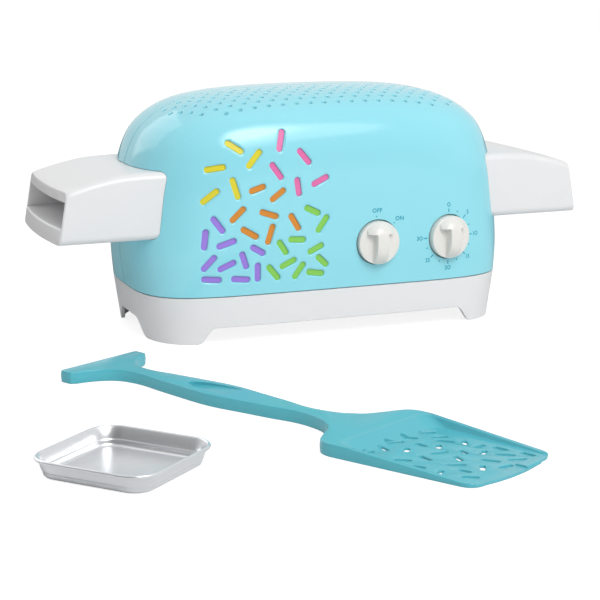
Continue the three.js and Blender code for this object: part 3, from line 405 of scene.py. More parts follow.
def baked(piece):
    """Turns the piece's modifiers into plain mesh."""
    graph = bpy.context.evaluated_depsgraph_get()
    mesh = bpy.data.meshes.new_from_object(piece.evaluated_get(graph))
    piece.modifiers.clear()
    old, piece.data = piece.data, mesh
    bpy.data.meshes.remove(old)
    return piece


def combine(operation, piece, *others):
    """Works the others into the piece one by one, and uses them up."""
    for other in others:
        step = piece.modifiers.new("step", "BOOLEAN")
        step.operation = operation
        step.solver = "MANIFOLD"
        step.object = other
        baked(piece)
        bpy.data.objects.remove(other)
    return piece


# Cut others out of a piece, join them to it, or keep only what it shares with them
cut, join, limit = (partial(combine, way) for way in ("DIFFERENCE", "UNION", "INTERSECT"))


def copy_of(piece, name):
    """A copy with a mesh of its own."""
    return in_scene(name, piece.data.copy())


def moved(piece, *places):
    """Moves the piece's mesh, by one place after another."""
    for place in places:
        piece.data.transform(place)
    return piece


def settle(piece, slot, finish, *replaced, place=oven_place, body="oven", sharp_deg=38):
    """Places a finished piece in the frame and gives it its body and material; the slot is not
    used.
    """
    moved(clean(piece), place)
    piece.data.materials.clear()
    piece.data.materials.append(finish)
    piece.data.shade_smooth()
    piece.data.set_sharp_from_angle(angle=radians(sharp_deg))
    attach(piece, body)
    if replaced:
        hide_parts(*replaced)
    size = [round(value * 1000, 1) for value in piece.dimensions]
    triangles = sum(len(face.vertices) - 2 for face in piece.data.polygons)
    print(f"{piece.name}: {triangles} triangles, {size} mm")


print("boolean solver: MANIFOLD")

# %% [markdown]
# ## The housing
# The housing follows a rule: every level of it is a superellipse, |x/a|^p + |y/b|^q = 1,
# whose half sizes and powers change with height. A square-cornered level at the seam turns
# into a soft one at the top. Geometry Nodes suit a rule like that: a flat grid is wrapped
# round the axis, and five curves over its rows give height, half length, half depth and the
# two powers. The edge at the bottom is drawn down and closed, so the result is a solid.

# %% Stations of the housing
body_length = 344.6
body_depth = 178
body_top = 206.9
seam_height = 41
shell_wall = 2.5
# Rows from the seam to the top: height, half length, half depth and the two powers
housing_rows = [
    [0, 0.975, 0.975, 6, 3.6],
    [0.084, 0.9855, 0.984, 5.7, 3.4],
    [0.175, 0.995, 0.9955, 5.4, 3.1],
    [0.295, 1, 1, 5, 2.75],
    [0.446, 0.9925, 1, 4.7, 2.6],
    [0.567, 0.9785, 0.998, 4.5, 2.6],
    [0.657, 0.9576, 0.991, 4.3, 2.6],
    [0.735, 0.9286, 0.975, 4.1, 2.7],
    [0.802, 0.891, 0.944, 3.8, 2.8],
    [0.856, 0.8387, 0.8966, 3.6, 2.9],
    [0.898, 0.7806, 0.8315, 3.4, 3],
    [0.931, 0.7168, 0.758, 3.2, 3],
    [0.955, 0.65, 0.6685, 3, 2.9],
    [0.973, 0.569, 0.573, 2.8, 2.7],
    [0.987, 0.464, 0.444, 2.6, 2.6],
    [0.996, 0.325, 0.292, 2.5, 2.5],
    [1, 0.12, 0.09, 2.4, 2.4],
    [1, 0.12, 0, 2.4, 2.4],
]
body_height = body_top - seam_height
half_body = body_length / 2
half_depth = body_depth / 2
print("stations:", len(housing_rows))

# %% [markdown]
# A tree starts with its named inputs, and each of these ends in Realize Instances and Set
# Material, so that the result is plain geometry with its finish on it. A shape that changes
# along rows is drawn by a Float Curve with one point for each row.

# %% Start, end and run a tree


def start_tree(name, sizes, counts=()):
    """A Geometry Nodes tree with a named input for each size and count, and those inputs."""
    tree = bpy.data.node_groups.new(name, "GeometryNodeTree")
    kinds = {"Geometry": "Geometry", **dict.fromkeys(sizes, "Float")}
    kinds |= {**dict.fromkeys(counts, "Int"), "Finish": "Material"}
    for label, kind in kinds.items():
        tree.interface.new_socket(name=label, in_out="INPUT", socket_type=f"NodeSocket{kind}")
    tree.interface.new_socket(name="Geometry", in_out="OUTPUT", socket_type="NodeSocketGeometry")
    return tree, add(tree, "NodeGroupInput").outputs


def end_tree(tree, size, geometry):
    """Turns instances to plain geometry and gives it the finish."""
    real = add(tree, "GeometryNodeRealizeInstances", [geometry])
    painted = {"Geometry": real, "Material": size["Finish"]}
    add(tree, "NodeGroupOutput", [add(tree, "GeometryNodeSetMaterial", painted)])


def grown(name, tree, values, points=(), attributes=None):
    """An object whose mesh is what the tree makes of some points and values."""
    made = mesh_object(name, points)
    for label, numbers in (attributes or {}).items():
        layer = made.data.attributes.new(label, "FLOAT", "POINT")
        layer.data.foreach_set("value", [float(number) for number in numbers])
    growth = made.modifiers.new("growth", "NODES")
    growth.node_group = tree
    for item in tree.interface.items_tree:
        if item.in_out == "INPUT" and item.name in values:
            growth[item.identifier] = values[item.name]
    return baked(made)


def curve_over_rows(tree, share, heights):
    """A Float Curve node through one value for each row."""
    made = add(tree, "ShaderNodeFloatCurve", {"Value": share})
    curve = made.mapping.curves[0]
    last = len(heights) - 1
    curve.points[0].location = (0, heights[0])
    curve.points[1].location = (1, heights[last])
    for i in range(1, last):
        curve.points.new(i / last, heights[i])
    for point in curve.points:
        point.handle_type = "AUTO_CLAMPED"
    made.mapping.update()
    return made


print("trees end in Realize Instances and Set Material")

# %% Wrap a grid round the housing's axis
housing_tree, size = start_tree(
    "housing_form",
    ["Half Length", "Half Depth", "Foot", "Rise", "Inset", "Skirt"],
    ["Points Round", "Rows"],
)
tree = housing_tree
sew_distance = 0.001
grid_size = {"Vertices X": size["Points Round"], "Vertices Y": size["Rows"]}
grid = add(tree, "GeometryNodeMeshGrid", grid_size)
spot = add(tree, "ShaderNodeSeparateXYZ", [add(tree, "GeometryNodeInputPosition")])
round_share, row_share = (
    add(tree, "ShaderNodeMath/ADD", [spot.outputs[i], 0.5]) for i in (0, 1)
)
# A curve's values stay between 0 and 1, so the first power is kept as a share of the
# highest one, and the second as its inverse
heights, lengths, depths, powers, other_powers = zip(*housing_rows)
highest_power = 6.0
power_shares = [p / highest_power for p in powers]
inverse_powers = [1 / p for p in other_powers]
height, length, depth, length_power, depth_power = (
    curve_over_rows(tree, row_share, values)
    for values in (heights, lengths, depths, power_shares, inverse_powers)
)
angle = add(tree, "ShaderNodeMath/MULTIPLY", [round_share, 2 * pi])
across, along = (add(tree, f"ShaderNodeMath/{wave}", [angle]) for wave in ("COSINE", "SINE"))
side = add(tree, "ShaderNodeMath/SIGN", [along])
power = add(tree, "ShaderNodeMath/MULTIPLY", [length_power, highest_power])
across_size = add(tree, "ShaderNodeMath/ABSOLUTE", [across])
raised = add(tree, "ShaderNodeMath/POWER", [across_size, power])
left_over = add(tree, "ShaderNodeMath/SUBTRACT", [1.0, raised], use_clamp=True)
out_share = add(tree, "ShaderNodeMath/POWER", [left_over, depth_power])
full = [
    add(tree, "ShaderNodeMath/MULTIPLY", [share, size[label]])
    for share, label in ((length, "Half Length"), (depth, "Half Depth"))
]
inner_x, inset_y = (add(tree, "ShaderNodeMath/SUBTRACT", [s, size["Inset"]]) for s in full)
inner_y = add(tree, "ShaderNodeMath/MAXIMUM", [inset_y, 0.0])
x = add(tree, "ShaderNodeMath/MULTIPLY", [inner_x, across])
y_size = add(tree, "ShaderNodeMath/MULTIPLY", [inner_y, out_share])
y = add(tree, "ShaderNodeMath/MULTIPLY", [y_size, side])
z = add(tree, "ShaderNodeMath/MULTIPLY_ADD", [height, size["Rise"], size["Foot"]])
place = add(tree, "ShaderNodeCombineXYZ", [x, y, z])
wrapped = add(tree, "GeometryNodeSetPosition", {"Geometry": grid, "Position": place})
sewing = {"Geometry": wrapped, "Distance": sew_distance}
sewn = add(tree, "GeometryNodeMergeByDistance", sewing)
print("nodes in the housing's tree so far:", len(tree.nodes))

# %% [markdown]
# The sewn sheet is open only at the bottom. Its free edges, the ones with one face, are
# drawn down by the skirt, and once more onto the mirror line to close it.

# %% Close the housing's foot
neighbours = add(tree, "GeometryNodeInputMeshEdgeNeighbors")
free_edge = add(tree, "FunctionNodeCompare/EQUAL", {2: neighbours, 3: 1}, data_type="INT")
drop = add(tree, "ShaderNodeMath/MULTIPLY", [size["Skirt"], -1.0])
down = add(tree, "ShaderNodeCombineXYZ", {2: drop})
drawn_down = {"Mesh": sewn, "Selection": free_edge, "Offset": down, "Offset Scale": 1.0}
skirt = add(tree, "GeometryNodeExtrudeMesh", drawn_down, mode="EDGES")
drawn_in = {"Mesh": skirt, "Selection": skirt.outputs["Top"], "Offset Scale": 0.0}
foot = add(tree, "GeometryNodeExtrudeMesh", drawn_in, mode="EDGES")
where = add(tree, "ShaderNodeSeparateXYZ", [add(tree, "GeometryNodeInputPosition")])
on_line = add(tree, "ShaderNodeCombineXYZ", {0: where.outputs[0], 2: where.outputs[2]})
folding = {"Geometry": foot, "Selection": foot.outputs["Top"], "Position": on_line}
folded = add(tree, "GeometryNodeSetPosition", folding)
sewing = {"Geometry": folded, "Distance": sew_distance}
end_tree(tree, size, add(tree, "GeometryNodeMergeByDistance", sewing))


def housing_solid(name, inset, skirt_mm, points_round, rows_between):
    """The housing as a solid, set in by a wall and drawn down by a skirt."""
    values = {
        "Half Length": half_body,
        "Half Depth": half_depth,
        "Foot": float(seam_height),
        "Rise": body_top - inset - seam_height,
        "Inset": float(inset),
        "Skirt": float(skirt_mm),
        "Points Round": points_round + 1,
        "Rows": rows_between * (len(housing_rows) - 1) + 1,
        "Finish": aqua_abs,
    }
    return clean(grown(name, housing_tree, values))


outer = housing_solid("outer", 0, 0, 240, 5)
print("housing:", len(outer.data.polygons), "faces")

# %% [markdown]
# Openings and prints have to follow the curved face. The housing is kept as a search tree:
# a ray from in front of it, or from above, finds the face at any place.

# %% Laying things on the housing
face_tree = BVHTree.FromPolygons(
    [v.co.copy() for v in outer.data.vertices], [tuple(f.vertices) for f in outer.data.polygons]
)


def laid_on(start, way, piece):
    """Moves what was made against a flat face onto the housing, as rays from afar find it."""
    axis = next(i for i in range(3) if way[i])
    for vertex in piece.data.vertices:
        origin = vertex.co.copy()
        origin[axis] = start
        vertex.co[axis] += face_tree.ray_cast(origin, Vector(way))[0][axis]
    return piece


on_front = partial(laid_on, -300, (0, 1, 0))
on_top = partial(laid_on, 400, (0, 0, -1))
print("the housing's face has", len(outer.data.vertices), "points to land on")

# %% [markdown]
# ## Perforations
# The top of the front shell has rows of round vents, every other row half a pitch along. The
# front has thirty-seven slots shaped like sugar strands, and the tool's blade has thirty
# more. All are one drill with a dished lip, set on many points and drawn out along an angle,
# so Geometry Nodes make them. A drill starts as a cylinder one unit high whose rings are
# spread by curves: how far the lip has fallen and how wide it still is, how deep the ring is,
# and how far it stands above the face.

# %% The drill's tree
drill_tree, size = start_tree("lipped_drills", ["Radius", "Lip", "Depth", "Above"], ["Sides"])
tree = drill_tree
# One value for each ring, from above the face to the drill's point
lip_width = [1, 1, 0.72, 0.4, 0.12, 0, 0, 0]
falls = [
    ([0, 0, 0.07, 0.19, 0.32, 0.5, 0.5, 0.5], "Lip", -1.0),
    ([0, 0, 0, 0, 0, 0, 0.4, 1], "Depth", -1.0),
    ([1, 0, 0, 0, 0, 0, 0, 0], "Above", 1.0),
]
stub_size = {"Vertices": size["Sides"], "Side Segments": len(lip_width) - 1}
stub_size |= {"Radius": size["Radius"], "Depth": 1.0}
stub = add(tree, "GeometryNodeMeshCylinder", stub_size)
spot = add(tree, "ShaderNodeSeparateXYZ", [add(tree, "GeometryNodeInputPosition")])
ring = add(tree, "ShaderNodeMath/SUBTRACT", [0.5, spot.outputs[2]])
heights = []
for shares, label, sign in falls:
    curve = curve_over_rows(tree, ring, shares)
    scaled = add(tree, "ShaderNodeMath/MULTIPLY", [curve, size[label]])
    heights.append(add(tree, "ShaderNodeMath/MULTIPLY", [scaled, sign]))
fallen = add(tree, "ShaderNodeMath/ADD", heights[:2])
height = add(tree, "ShaderNodeMath/ADD", [fallen, heights[2]])
curve = curve_over_rows(tree, ring, lip_width)
flare = add(tree, "ShaderNodeMath/MULTIPLY", [curve, size["Lip"]])
flare_share = add(tree, "ShaderNodeMath/DIVIDE", [flare, size["Radius"]])
widen = add(tree, "ShaderNodeMath/ADD", [flare_share, 1.0])
x, y = (add(tree, "ShaderNodeMath/MULTIPLY", [spot.outputs[i], widen]) for i in (0, 1))
place = add(tree, "ShaderNodeCombineXYZ", [x, y, height])
shaped = add(tree, "GeometryNodeSetPosition", {"Geometry": stub, "Position": place})
print("rings of a drill:", len(lip_width))

# %% [markdown]
# The two halves of a drill have to part along its angle. The sign of x is stored on the
# points before the drill is turned, and each half is then moved its own way.

# %% Set the drills out and draw them
half_sign = add(tree, "ShaderNodeMath/SIGN", [spot.outputs[0]])
note = {"Geometry": shaped, "Name": "half", "Value": half_sign}
marked = add(tree, "GeometryNodeStoreNamedAttribute", note, data_type="FLOAT", domain="POINT")
turn, reach, half = (
    add(tree, "GeometryNodeInputNamedAttribute", {"Name": label}, data_type="FLOAT")
    for label in ("turn", "reach", "half")
)
upright_turn = add(tree, "ShaderNodeCombineXYZ", {2: turn})
setting = {"Points": size["Geometry"], "Instance": marked, "Rotation": upright_turn}
set_out = add(tree, "GeometryNodeInstanceOnPoints", setting)
solid = add(tree, "GeometryNodeRealizeInstances", [set_out])
draw = add(tree, "ShaderNodeMath/MULTIPLY", [reach, half])
along = [
    add(tree, "ShaderNodeMath/MULTIPLY", [draw, add(tree, f"ShaderNodeMath/{wave}", [turn])])
    for wave in ("COSINE", "SINE")
]
way = add(tree, "ShaderNodeCombineXYZ", along)
drawn = add(tree, "GeometryNodeSetPosition", {"Geometry": solid, "Offset": way})
end_tree(tree, size, drawn)


def drills(name, places, width, lip, depth_mm, above_mm=3.0, sides=30):
    """Drills down from z 0 for (x, y, angle in degrees, length) in millimetres."""
    values = {"Radius": width / 2, "Lip": float(lip), "Depth": float(depth_mm)}
    return grown(
        name,
        drill_tree,
        values | {"Above": above_mm, "Sides": sides},
        [(x, y, 0) for x, y, _, _ in places],
        {
            "turn": [radians(turn_deg) for _, _, turn_deg, _ in places],
            "reach": [(length_mm - width) / 2 for _, _, _, length_mm in places],
        },
    )


# %% Drills for the vents
vent_width = 4.0
vent_pitch = 12.6
vent_row_pitch = 8.4
vent_first_row = 11.6
vent_counts = [22, 21, 22, 21, 20, 19, 16]
vent_places = [
    ((i - (count - 1) / 2) * vent_pitch, -vent_first_row - row * vent_row_pitch, 0, vent_width)
    for row, count in enumerate(vent_counts)
    for i in range(count)
]
vents = on_top(drills("vents", vent_places, vent_width, lip=0.6, depth_mm=12, sides=20))
print("vents:", len(vent_places))

# %% Drills for the strands
strand_width = 5.4
# For each colour: centre x and z, angle in degrees and length, as shares of the body
strand_shares = {
    "yellow": [
        (-0.546, 0.753, 146, 0.099), (-0.453, 0.693, 50, 0.113), (-0.644, 0.651, 8, 0.105),
        (-0.551, 0.549, 107, 0.114), (-0.673, 0.512, 38, 0.11),
    ],
    "pink": [
        (-0.313, 0.778, 75, 0.11), (-0.197, 0.693, 129, 0.1), (-0.342, 0.627, 125, 0.103),
        (-0.232, 0.542, 98, 0.096), (-0.116, 0.567, 26, 0.1),
    ],
    "orange": [
        (-0.441, 0.542, 18, 0.089), (-0.337, 0.506, 37, 0.097), (-0.54, 0.416, 44, 0.103),
        (-0.383, 0.41, 161, 0.103), (-0.25, 0.362, 121, 0.101), (-0.482, 0.319, 149, 0.103),
        (-0.377, 0.307, 72, 0.107),
    ],
    "green": [
        (-0.157, 0.416, 154, 0.093), (-0.104, 0.344, 55, 0.103), (-0.238, 0.271, 176, 0.092),
        (-0.313, 0.235, 123, 0.09), (-0.139, 0.217, 26, 0.093), (-0.104, 0.151, 137, 0.084),
        (-0.284, 0.151, 26, 0.095), (-0.226, 0.108, 55, 0.1), (-0.36, 0.108, 130, 0.1),
        (-0.139, 0.09, 171, 0.097),
    ],
    "purple": [
        (-0.638, 0.368, 126, 0.1), (-0.702, 0.295, 83, 0.103), (-0.598, 0.271, 18, 0.105),
        (-0.441, 0.229, 149, 0.087), (-0.685, 0.175, 47, 0.101), (-0.598, 0.157, 24, 0.1),
        (-0.511, 0.181, 108, 0.093), (-0.441, 0.115, 91, 0.097), (-0.673, 0.09, 175, 0.1),
        (-0.528, 0.084, 174, 0.098),
    ],
}
strand_places = {
    colour: [
        (x * half_body, seam_height + z * body_height, turn_deg, share * half_body)
        for x, z, turn_deg, share in shares
    ]
    for colour, shares in strand_shares.items()
}
# Drills stand along z with their plan in x and y: turned so that z leads to the front
upright = Matrix.Rotation(pi / 2, 4, "X")
every_strand = sum(strand_places.values(), [])
strands = drills("strands", every_strand, strand_width, lip=1.35, depth_mm=9)
strands = on_front(moved(strands, upright))
print("strand openings:", len(every_strand))

# %% [markdown]
# Behind the slots lie the coloured inlays, and each has raised strands that reach into the
# slots from behind and end 1.6 mm under the face. The same drills make them: no lip, a hair
# narrower than the slot, and pushed back before they are pressed onto the face.

# %% Raised strands of the inlays
strand_depth = 1.6
strand_back = shell_wall + 0.4
for colour, places in strand_places.items():
    reach_mm = strand_back - strand_depth
    raised = drills(f"{colour}_strands", places, strand_width - 0.2, 0, reach_mm, above_mm=0.0)
    on_front(moved(clean(raised), upright @ Matrix.Translation((0, 0, -strand_depth))))
    settle(raised, f"{colour}_inlay", inlay_abs[colour])

# %% [markdown]
# ## Front and rear shells
# The two knobs sit in round wells, each with a thin wall behind the housing's face. The
# timer's face is turned a little with the curve of the body. The shells are the solid less a
# smaller one, halved at the parting line, with wells and openings cut.

# %% Where the controls sit
knob_radius = 18.75
well_radius = knob_radius + 1
well_depth = 5.8
well_back = well_depth + shell_wall
knob_height = seam_height + 0.228 * body_height
power_face = Matrix.Translation((0.192 * half_body, 0.2 - half_depth, knob_height))
timer_face = Matrix.Translation((0.59 * half_body, 2.3 - half_depth, knob_height))
timer_face @= Matrix.Rotation(radians(6.5), 4, "Z")
control_faces = {"power": power_face, "timer": timer_face}
print("knob centres in mm:", *(face.translation.to_tuple(1) for face in control_faces.values()))

# %% [markdown]
# The shells need the outline of the chutes for their side holes, so it comes first: wider
# than high, with round corners, lower towards the mouth.

# %% Chute outline, shared by the chutes and their holes
chute_inner_end = half_body - 26.3
chute_length = 94
chute_bottom = 88.7
chute_top = 145.6
chute_corner = 6.5
chute_lean = 7.5
chute_bulge = 4.5
chute_half_width = 64
half_turn = Matrix.Rotation(pi, 4, "Z")
# Rows from the inner end to the mouth, as shares: place, height, lean and bulge
chute_rows = [
    [0, 1, 0, 0],
    [0.28, 0.995, 0, 0],
    [0.47, 0.973, 0.12, 0],
    [0.65, 0.928, 0.5, 0.2],
    [0.83, 0.866, 0.8, 0.6],
    [1, 0.791, 1, 1],
]


def chute_ring(row, inset=0.0, corner_steps=10, edge_steps=16):
    """One upright outline of the chute on the +x side, as (x, y, z)."""
    along, height_share, lean_share, bulge_share = row
    high = height_share * (chute_top - chute_bottom) - 2 * inset
    half_width = chute_half_width - inset
    radius = chute_corner - inset
    turns = np.linspace(0, pi / 2, corner_steps + 1)
    corner = [
        (half_width - radius + radius * cos(t), high / 2 - radius + radius * sin(t))
        for t in turns
    ]
    steps = range(1, edge_steps)
    edge = [((half_width - radius) * (1 - 2 * i / edge_steps), high / 2) for i in steps]
    ring = mirrored(corner + edge + [(-y, z) for y, z in corner[::-1]])
    start = chute_inner_end + along * chute_length
    middle = chute_bottom + inset + high / 2
    return np.array([
        (
            start - lean_share * chute_lean * (z / high + 0.5)
            + bulge_share * chute_bulge * (1 - (y / half_width) ** 2),
            y,
            middle + z,
        )
        for y, z in ring
    ])


def chute_holes():
    """A hole for each chute, a little wider than it, through the shell's side walls."""
    near = chute_ring(chute_rows[0], inset=-0.3)
    far = near.copy()
    near[:, 0], far[:, 0] = chute_inner_end - overrun, half_body + overrun
    hole = loft("hole", [near, far])
    return hole, moved(copy_of(hole, "hole"), half_turn)


print("chute mouth at x =", round(chute_inner_end + chute_length, 1), "mm")

# %% Cut the front shell
seam_gap = 0.6  # from the parting plane to each half
past_x, past_y, past_z = 200, 100, 220  # past the body on every side
bush_radius = 5
inner = housing_solid("inner", shell_wall, 2, 160, 3)
hull = cut(copy_of(outer, "hull"), inner)
front_half = block("front_half", -past_x, past_x, -past_y, -seam_gap, 0, past_z)
front_shell = limit(copy_of(hull, "housing_front"), front_half)
for face in control_faces.values():
    cup = rod("cup", well_radius + shell_wall, (0, 0), shell_wall / 2, well_back, "y", 96)
    join(front_shell, limit(moved(cup, face), copy_of(outer, "limit")))
for face in control_faces.values():
    well = rod("well", well_radius, (0, 0), -10 * overrun, well_depth, "y", 96)
    ends = (well_depth - overrun, well_back + overrun)
    bush = rod("bush", bush_radius, (0, 0), *ends, "y", 32)
    cut(front_shell, moved(well, face), moved(bush, face))
cut(front_shell, strands, vents, *chute_holes())
settle(front_shell, "shell", aqua_abs, "front_shell")

# %% Cut the rear shell, with its screw posts and the cord's hole
post_radius = 5
post_front = 0.15
head_bore_radius = 3.6
thread_radius = 1.8
post_places = [
    (side * x * half_body, seam_height + z * body_height)
    for x, z in ((0.812, 0.133), (0.65, 0.765))
    for side in (-1, 1)
]
head_seat = 12
gland_radius = 5.4
gland_reach = 8
gland_face = Matrix.Translation(
    (-0.348 * half_body, half_depth - 1.3, seam_height + 0.102 * body_height)
) @ Matrix.Rotation(radians(-3.4), 4, "X")
rear_shell = limit(hull, block("rear_half", -past_x, past_x, seam_gap, past_y, 0, past_z))
for place in post_places:
    post = rod("post", post_radius, place, post_front, half_depth, "y", 40)
    join(rear_shell, limit(post, copy_of(outer, "limit")))
    head_bore = rod("bore", head_bore_radius, place, head_seat, body_depth, "y", 40)
    thread_bore = rod("bore", thread_radius, place, -1, head_seat + overrun, "y", 24)
    cut(rear_shell, head_bore, thread_bore)
cord_hole = rod("cord_hole", gland_radius + 0.3, (0, 0), -gland_reach, gland_reach, "y", 40)
cut(rear_shell, moved(cord_hole, gland_face), *chute_holes())
settle(rear_shell, "shell", aqua_abs, "rear_shell")

# %% [markdown]
# ## Base
# The base is one white moulding: an apron that leans in towards the floor, four hollow feet
# left between arches, a deck under the works and a rim that locates the shells. Its outline
# is the housing's at the seam, so the two meet in a thin shadow line.

# %% Base outlines
seam_groove = 0.8
seam_share = 0.975  # of the body's size, at the seam
apron_wall = 3
deck_bottom = 22
deck_top = 24.5
foot_length = 0.94 * half_body
foot_depth = 0.966 * half_depth
base_powers = (6, 3.6)


def level(half_x, half_y, z, count=240):
    """One superellipse of the base."""
    across, along = np.cos(circle(count)), np.sin(circle(count))
    out = (1 - np.abs(across) ** base_powers[0]) ** (1 / base_powers[1])
    return at_height(np.column_stack([half_x * across, half_y * np.sign(along) * out]), z)


def base_solid(name, inset, heights):
    """The apron as a solid, set in by a wall."""
    rings = []
    for z in heights:
        rise = z / seam_height
        half_x = foot_length + (seam_share * half_body - foot_length) * rise - inset
        half_y = foot_depth + (seam_share * half_depth - foot_depth) * rise - inset
        rings.append(level(half_x, half_y, z))
    return loft(name, rings)


def arch(half_foot, slope, high, reach, axis):
    """The gap between two feet: a flat top, and an S-curve down to each foot."""
    half_top = half_foot - slope
    middle = (half_top + half_foot) / 2
    knots = [(-half_foot, 0), (-middle, 0), (-middle, high), (-half_top, high)]
    left = [(-half_foot, -overrun), *bend(*knots, steps=16)]
    outline = left + [(-x, z) for x, z in left[::-1]]
    return prism("arch", outline, -reach, reach, axis)


print("foot outline in mm:", round(2 * foot_length, 1), "by", round(2 * foot_depth, 1))

# %% Make the base
base_top = seam_height - seam_groove
base = base_solid("base_moulding", 0, np.linspace(0, base_top, 9))
cut(base, base_solid("under", apron_wall, [-overrun, deck_bottom]))
cut(base, base_solid("over", apron_wall, [deck_top, base_top + overrun]))
lip_inset = shell_wall + 0.3
lip_wall = 2
lip_low, lip_high = deck_top - 0.5, seam_height + 5
lip, inside = (
    loft("lip", [
        level(seam_share * half_body - inset, seam_share * half_depth - inset, z) for z in ends
    ])
    for inset, ends in (
        (lip_inset, (lip_low, lip_high)),
        (lip_inset + lip_wall, (lip_low - overrun, lip_high + overrun)),
    )
)
join(base, cut(lip, inside))
long_arch = arch(foot_length - 33, slope=18, high=14.2, reach=past_y, axis="y")
cut(base, long_arch, arch(foot_depth - 43, slope=25, high=15.5, reach=past_x, axis="x"))
boss_x, boss_y = 0.766 * half_body, half_depth - 37
boss_places = [(sx * boss_x, sy * boss_y) for sx in (-1, 1) for sy in (-1, 1)]
ends = (deck_bottom - overrun, deck_top + overrun)
cut(base, *(rod("screw_hole", thread_radius, place, *ends, "z", 24) for place in boss_places))
settle(base, "white_moulding", white_abs, "base")

# %% [markdown]
# ## Chutes
# Each chute is a white sleeve with rounded long edges. Its top slopes down towards the
# mouth, the mouth leans back and bulges outwards, and its rim is rounded over. The rim is
# made of five more outlines, each set in along a quarter circle. One mesh serves both ends,
# turned half round for the other.

# %% Make the chutes
mouth_rim = 1.6
slot_lip = 1.5
slot_half, slot_low, slot_high = 61.5, 103, 124.5
chute_table = smooth_rows(chute_rows, 6)
chute_table[:, 2:] = np.clip(chute_table[:, 2:], 0, None)
rings = [chute_ring(row) for row in chute_table[:-1]]
for inset, to_go in rounded_edge(mouth_rim, 5):
    ring = chute_ring(chute_table[-1], inset)
    ring[:, 0] -= to_go
    rings.append(ring)
chute = loft("outlet_sleeve", rings)


def slot_ring(wider, behind):
    """Outline of the slot, some way behind the mouth's bulged and leaning face."""
    low, high, side = slot_low - wider, slot_high + wider, slot_half + wider
    mouth_height = chute_rows[-1][1] * (chute_top - chute_bottom)
    across = np.linspace(-side, side, 25)
    ring = []
    for y, z in [(y, low) for y in across] + [(y, high) for y in across[::-1]]:
        lean = chute_lean * (z - chute_bottom) / mouth_height
        bulge = chute_bulge * (1 - (y / chute_half_width) ** 2)
        ring.append((chute_inner_end + chute_length - lean + bulge - behind, y, z))
    return ring


lip_rings = [slot_ring(wider, behind) for behind, wider in rounded_edge(slot_lip, 6)]
slot_rings = [slot_ring(slot_lip, -5), *lip_rings, slot_ring(0, chute_length + 20)]
cut(chute, loft("slot", slot_rings, flat_ends=True))
other_chute = moved(copy_of(chute, "inlet_sleeve"), half_turn)
settle(chute, "white_moulding", white_abs, "outlet_chute")
settle(other_chute, "white_moulding", white_abs, "inlet_chute")

# %% [markdown]
# ## Knobs
# A knob is a low disc with a T-shaped grip: a hood above the middle and a rib that runs
# down from it to the rim. The grip starts as a narrow dome with blunt sides, and two pockets
# are cut below the hood's edge. Remeshing the knob into even squares of 0.4 mm and smoothing
# them melts every edge into a fillet, as a real moulding has. Both knobs are the same part.

# %% Make a knob
rim_height = 9.6
disc_height = 10.4
grip_height = 19
knob_back = well_depth - 0.8
hood_edge = 0.44 * knob_radius
grip_half = 0.64 * knob_radius
grip_width_share = 0.86
rib_half_top = 5.15
rib_half_rim = 5.8
fullness = 3.2  # power of a dome's curve
past_knob = 20
square_mm = 0.4
smoothing_passes = 4


def dome(name, foot_height, peak, width_share=1.0, sides=96, steps=24):
    """A lathe shape along -y from the knob's back: a straight rim, then a full dome."""
    angles = circle(sides)
    stations = [(1, 0)]
    for share in np.linspace(1, 0.02, steps):
        stations.append((share, foot_height + (peak - foot_height) * (1 - share**fullness)))
    rings = [
        np.column_stack([
            width_share * share * knob_radius * np.cos(angles),
            np.full(sides, knob_back - high),
            share * knob_radius * np.sin(angles),
        ])
        for share, high in stations
    ]
    return loft(name, rings)


def pocket(side):
    """The space beside the grip's rib, under its hood."""
    far = knob_radius + overrun
    top, rim = side * rib_half_top, side * rib_half_rim
    outline = [(top, hood_edge), (side * far, hood_edge), (side * far, -far), (rim, -far)]
    ends = (knob_back - grip_height - overrun, knob_back + overrun)
    return prism("pocket", outline, *ends, "y")


knob = dome("knob", rim_height, disc_height)
grip = dome("grip", rim_height, grip_height, grip_width_share)
ends = (-past_knob, past_knob)
limit(grip, block("blunt", -grip_half, grip_half, *ends, *ends))
join(knob, cut(grip, pocket(1), pocket(-1)))
squares = knob.modifiers.new("squares", "REMESH")
squares.mode = "VOXEL"
squares.voxel_size = square_mm
melt = knob.modifiers.new("melt", "SMOOTH")
melt.factor = 0.5
melt.iterations = smoothing_passes
baked(knob)
print("knob:", len(knob.data.polygons), "faces")

# %% Settle both knobs
for label, face in control_faces.items():
    body = f"{label}_knob"
    one = copy_of(knob, f"{body}_moulding")
    settle(one, "knob", knob_abs, body, place=oven_place @ face, body=body, sharp_deg=70)
bpy.data.objects.remove(knob)

# %% [markdown]
# ## Dials
# The power dial has a dot each for OFF and ON. The timer runs clockwise from 0 at the top to
# 30 on the left, with a long mark and a number every five minutes and a short mark between.
# Text starts as a curve, becomes mesh, and is pressed onto the curved face. Blender's own
# font has a mark inside its zero, which the oven's lettering has not, so a narrow capital O
# is printed instead. The marks repeat round a circle, so they come from Geometry Nodes.

# %% Printing on the face
ink_thickness = 0.08
letter_height = 5.0
letter_spacing = 1.08
ink_spread = 0.13  # how much bolder the ink is than the font
number_width_share = 0.86
number_radius = 28
number_stretch = 1.02  # of the numbers' circle in x
mark_step_deg = 22.5
timer_x, _, dial_height = timer_face.translation


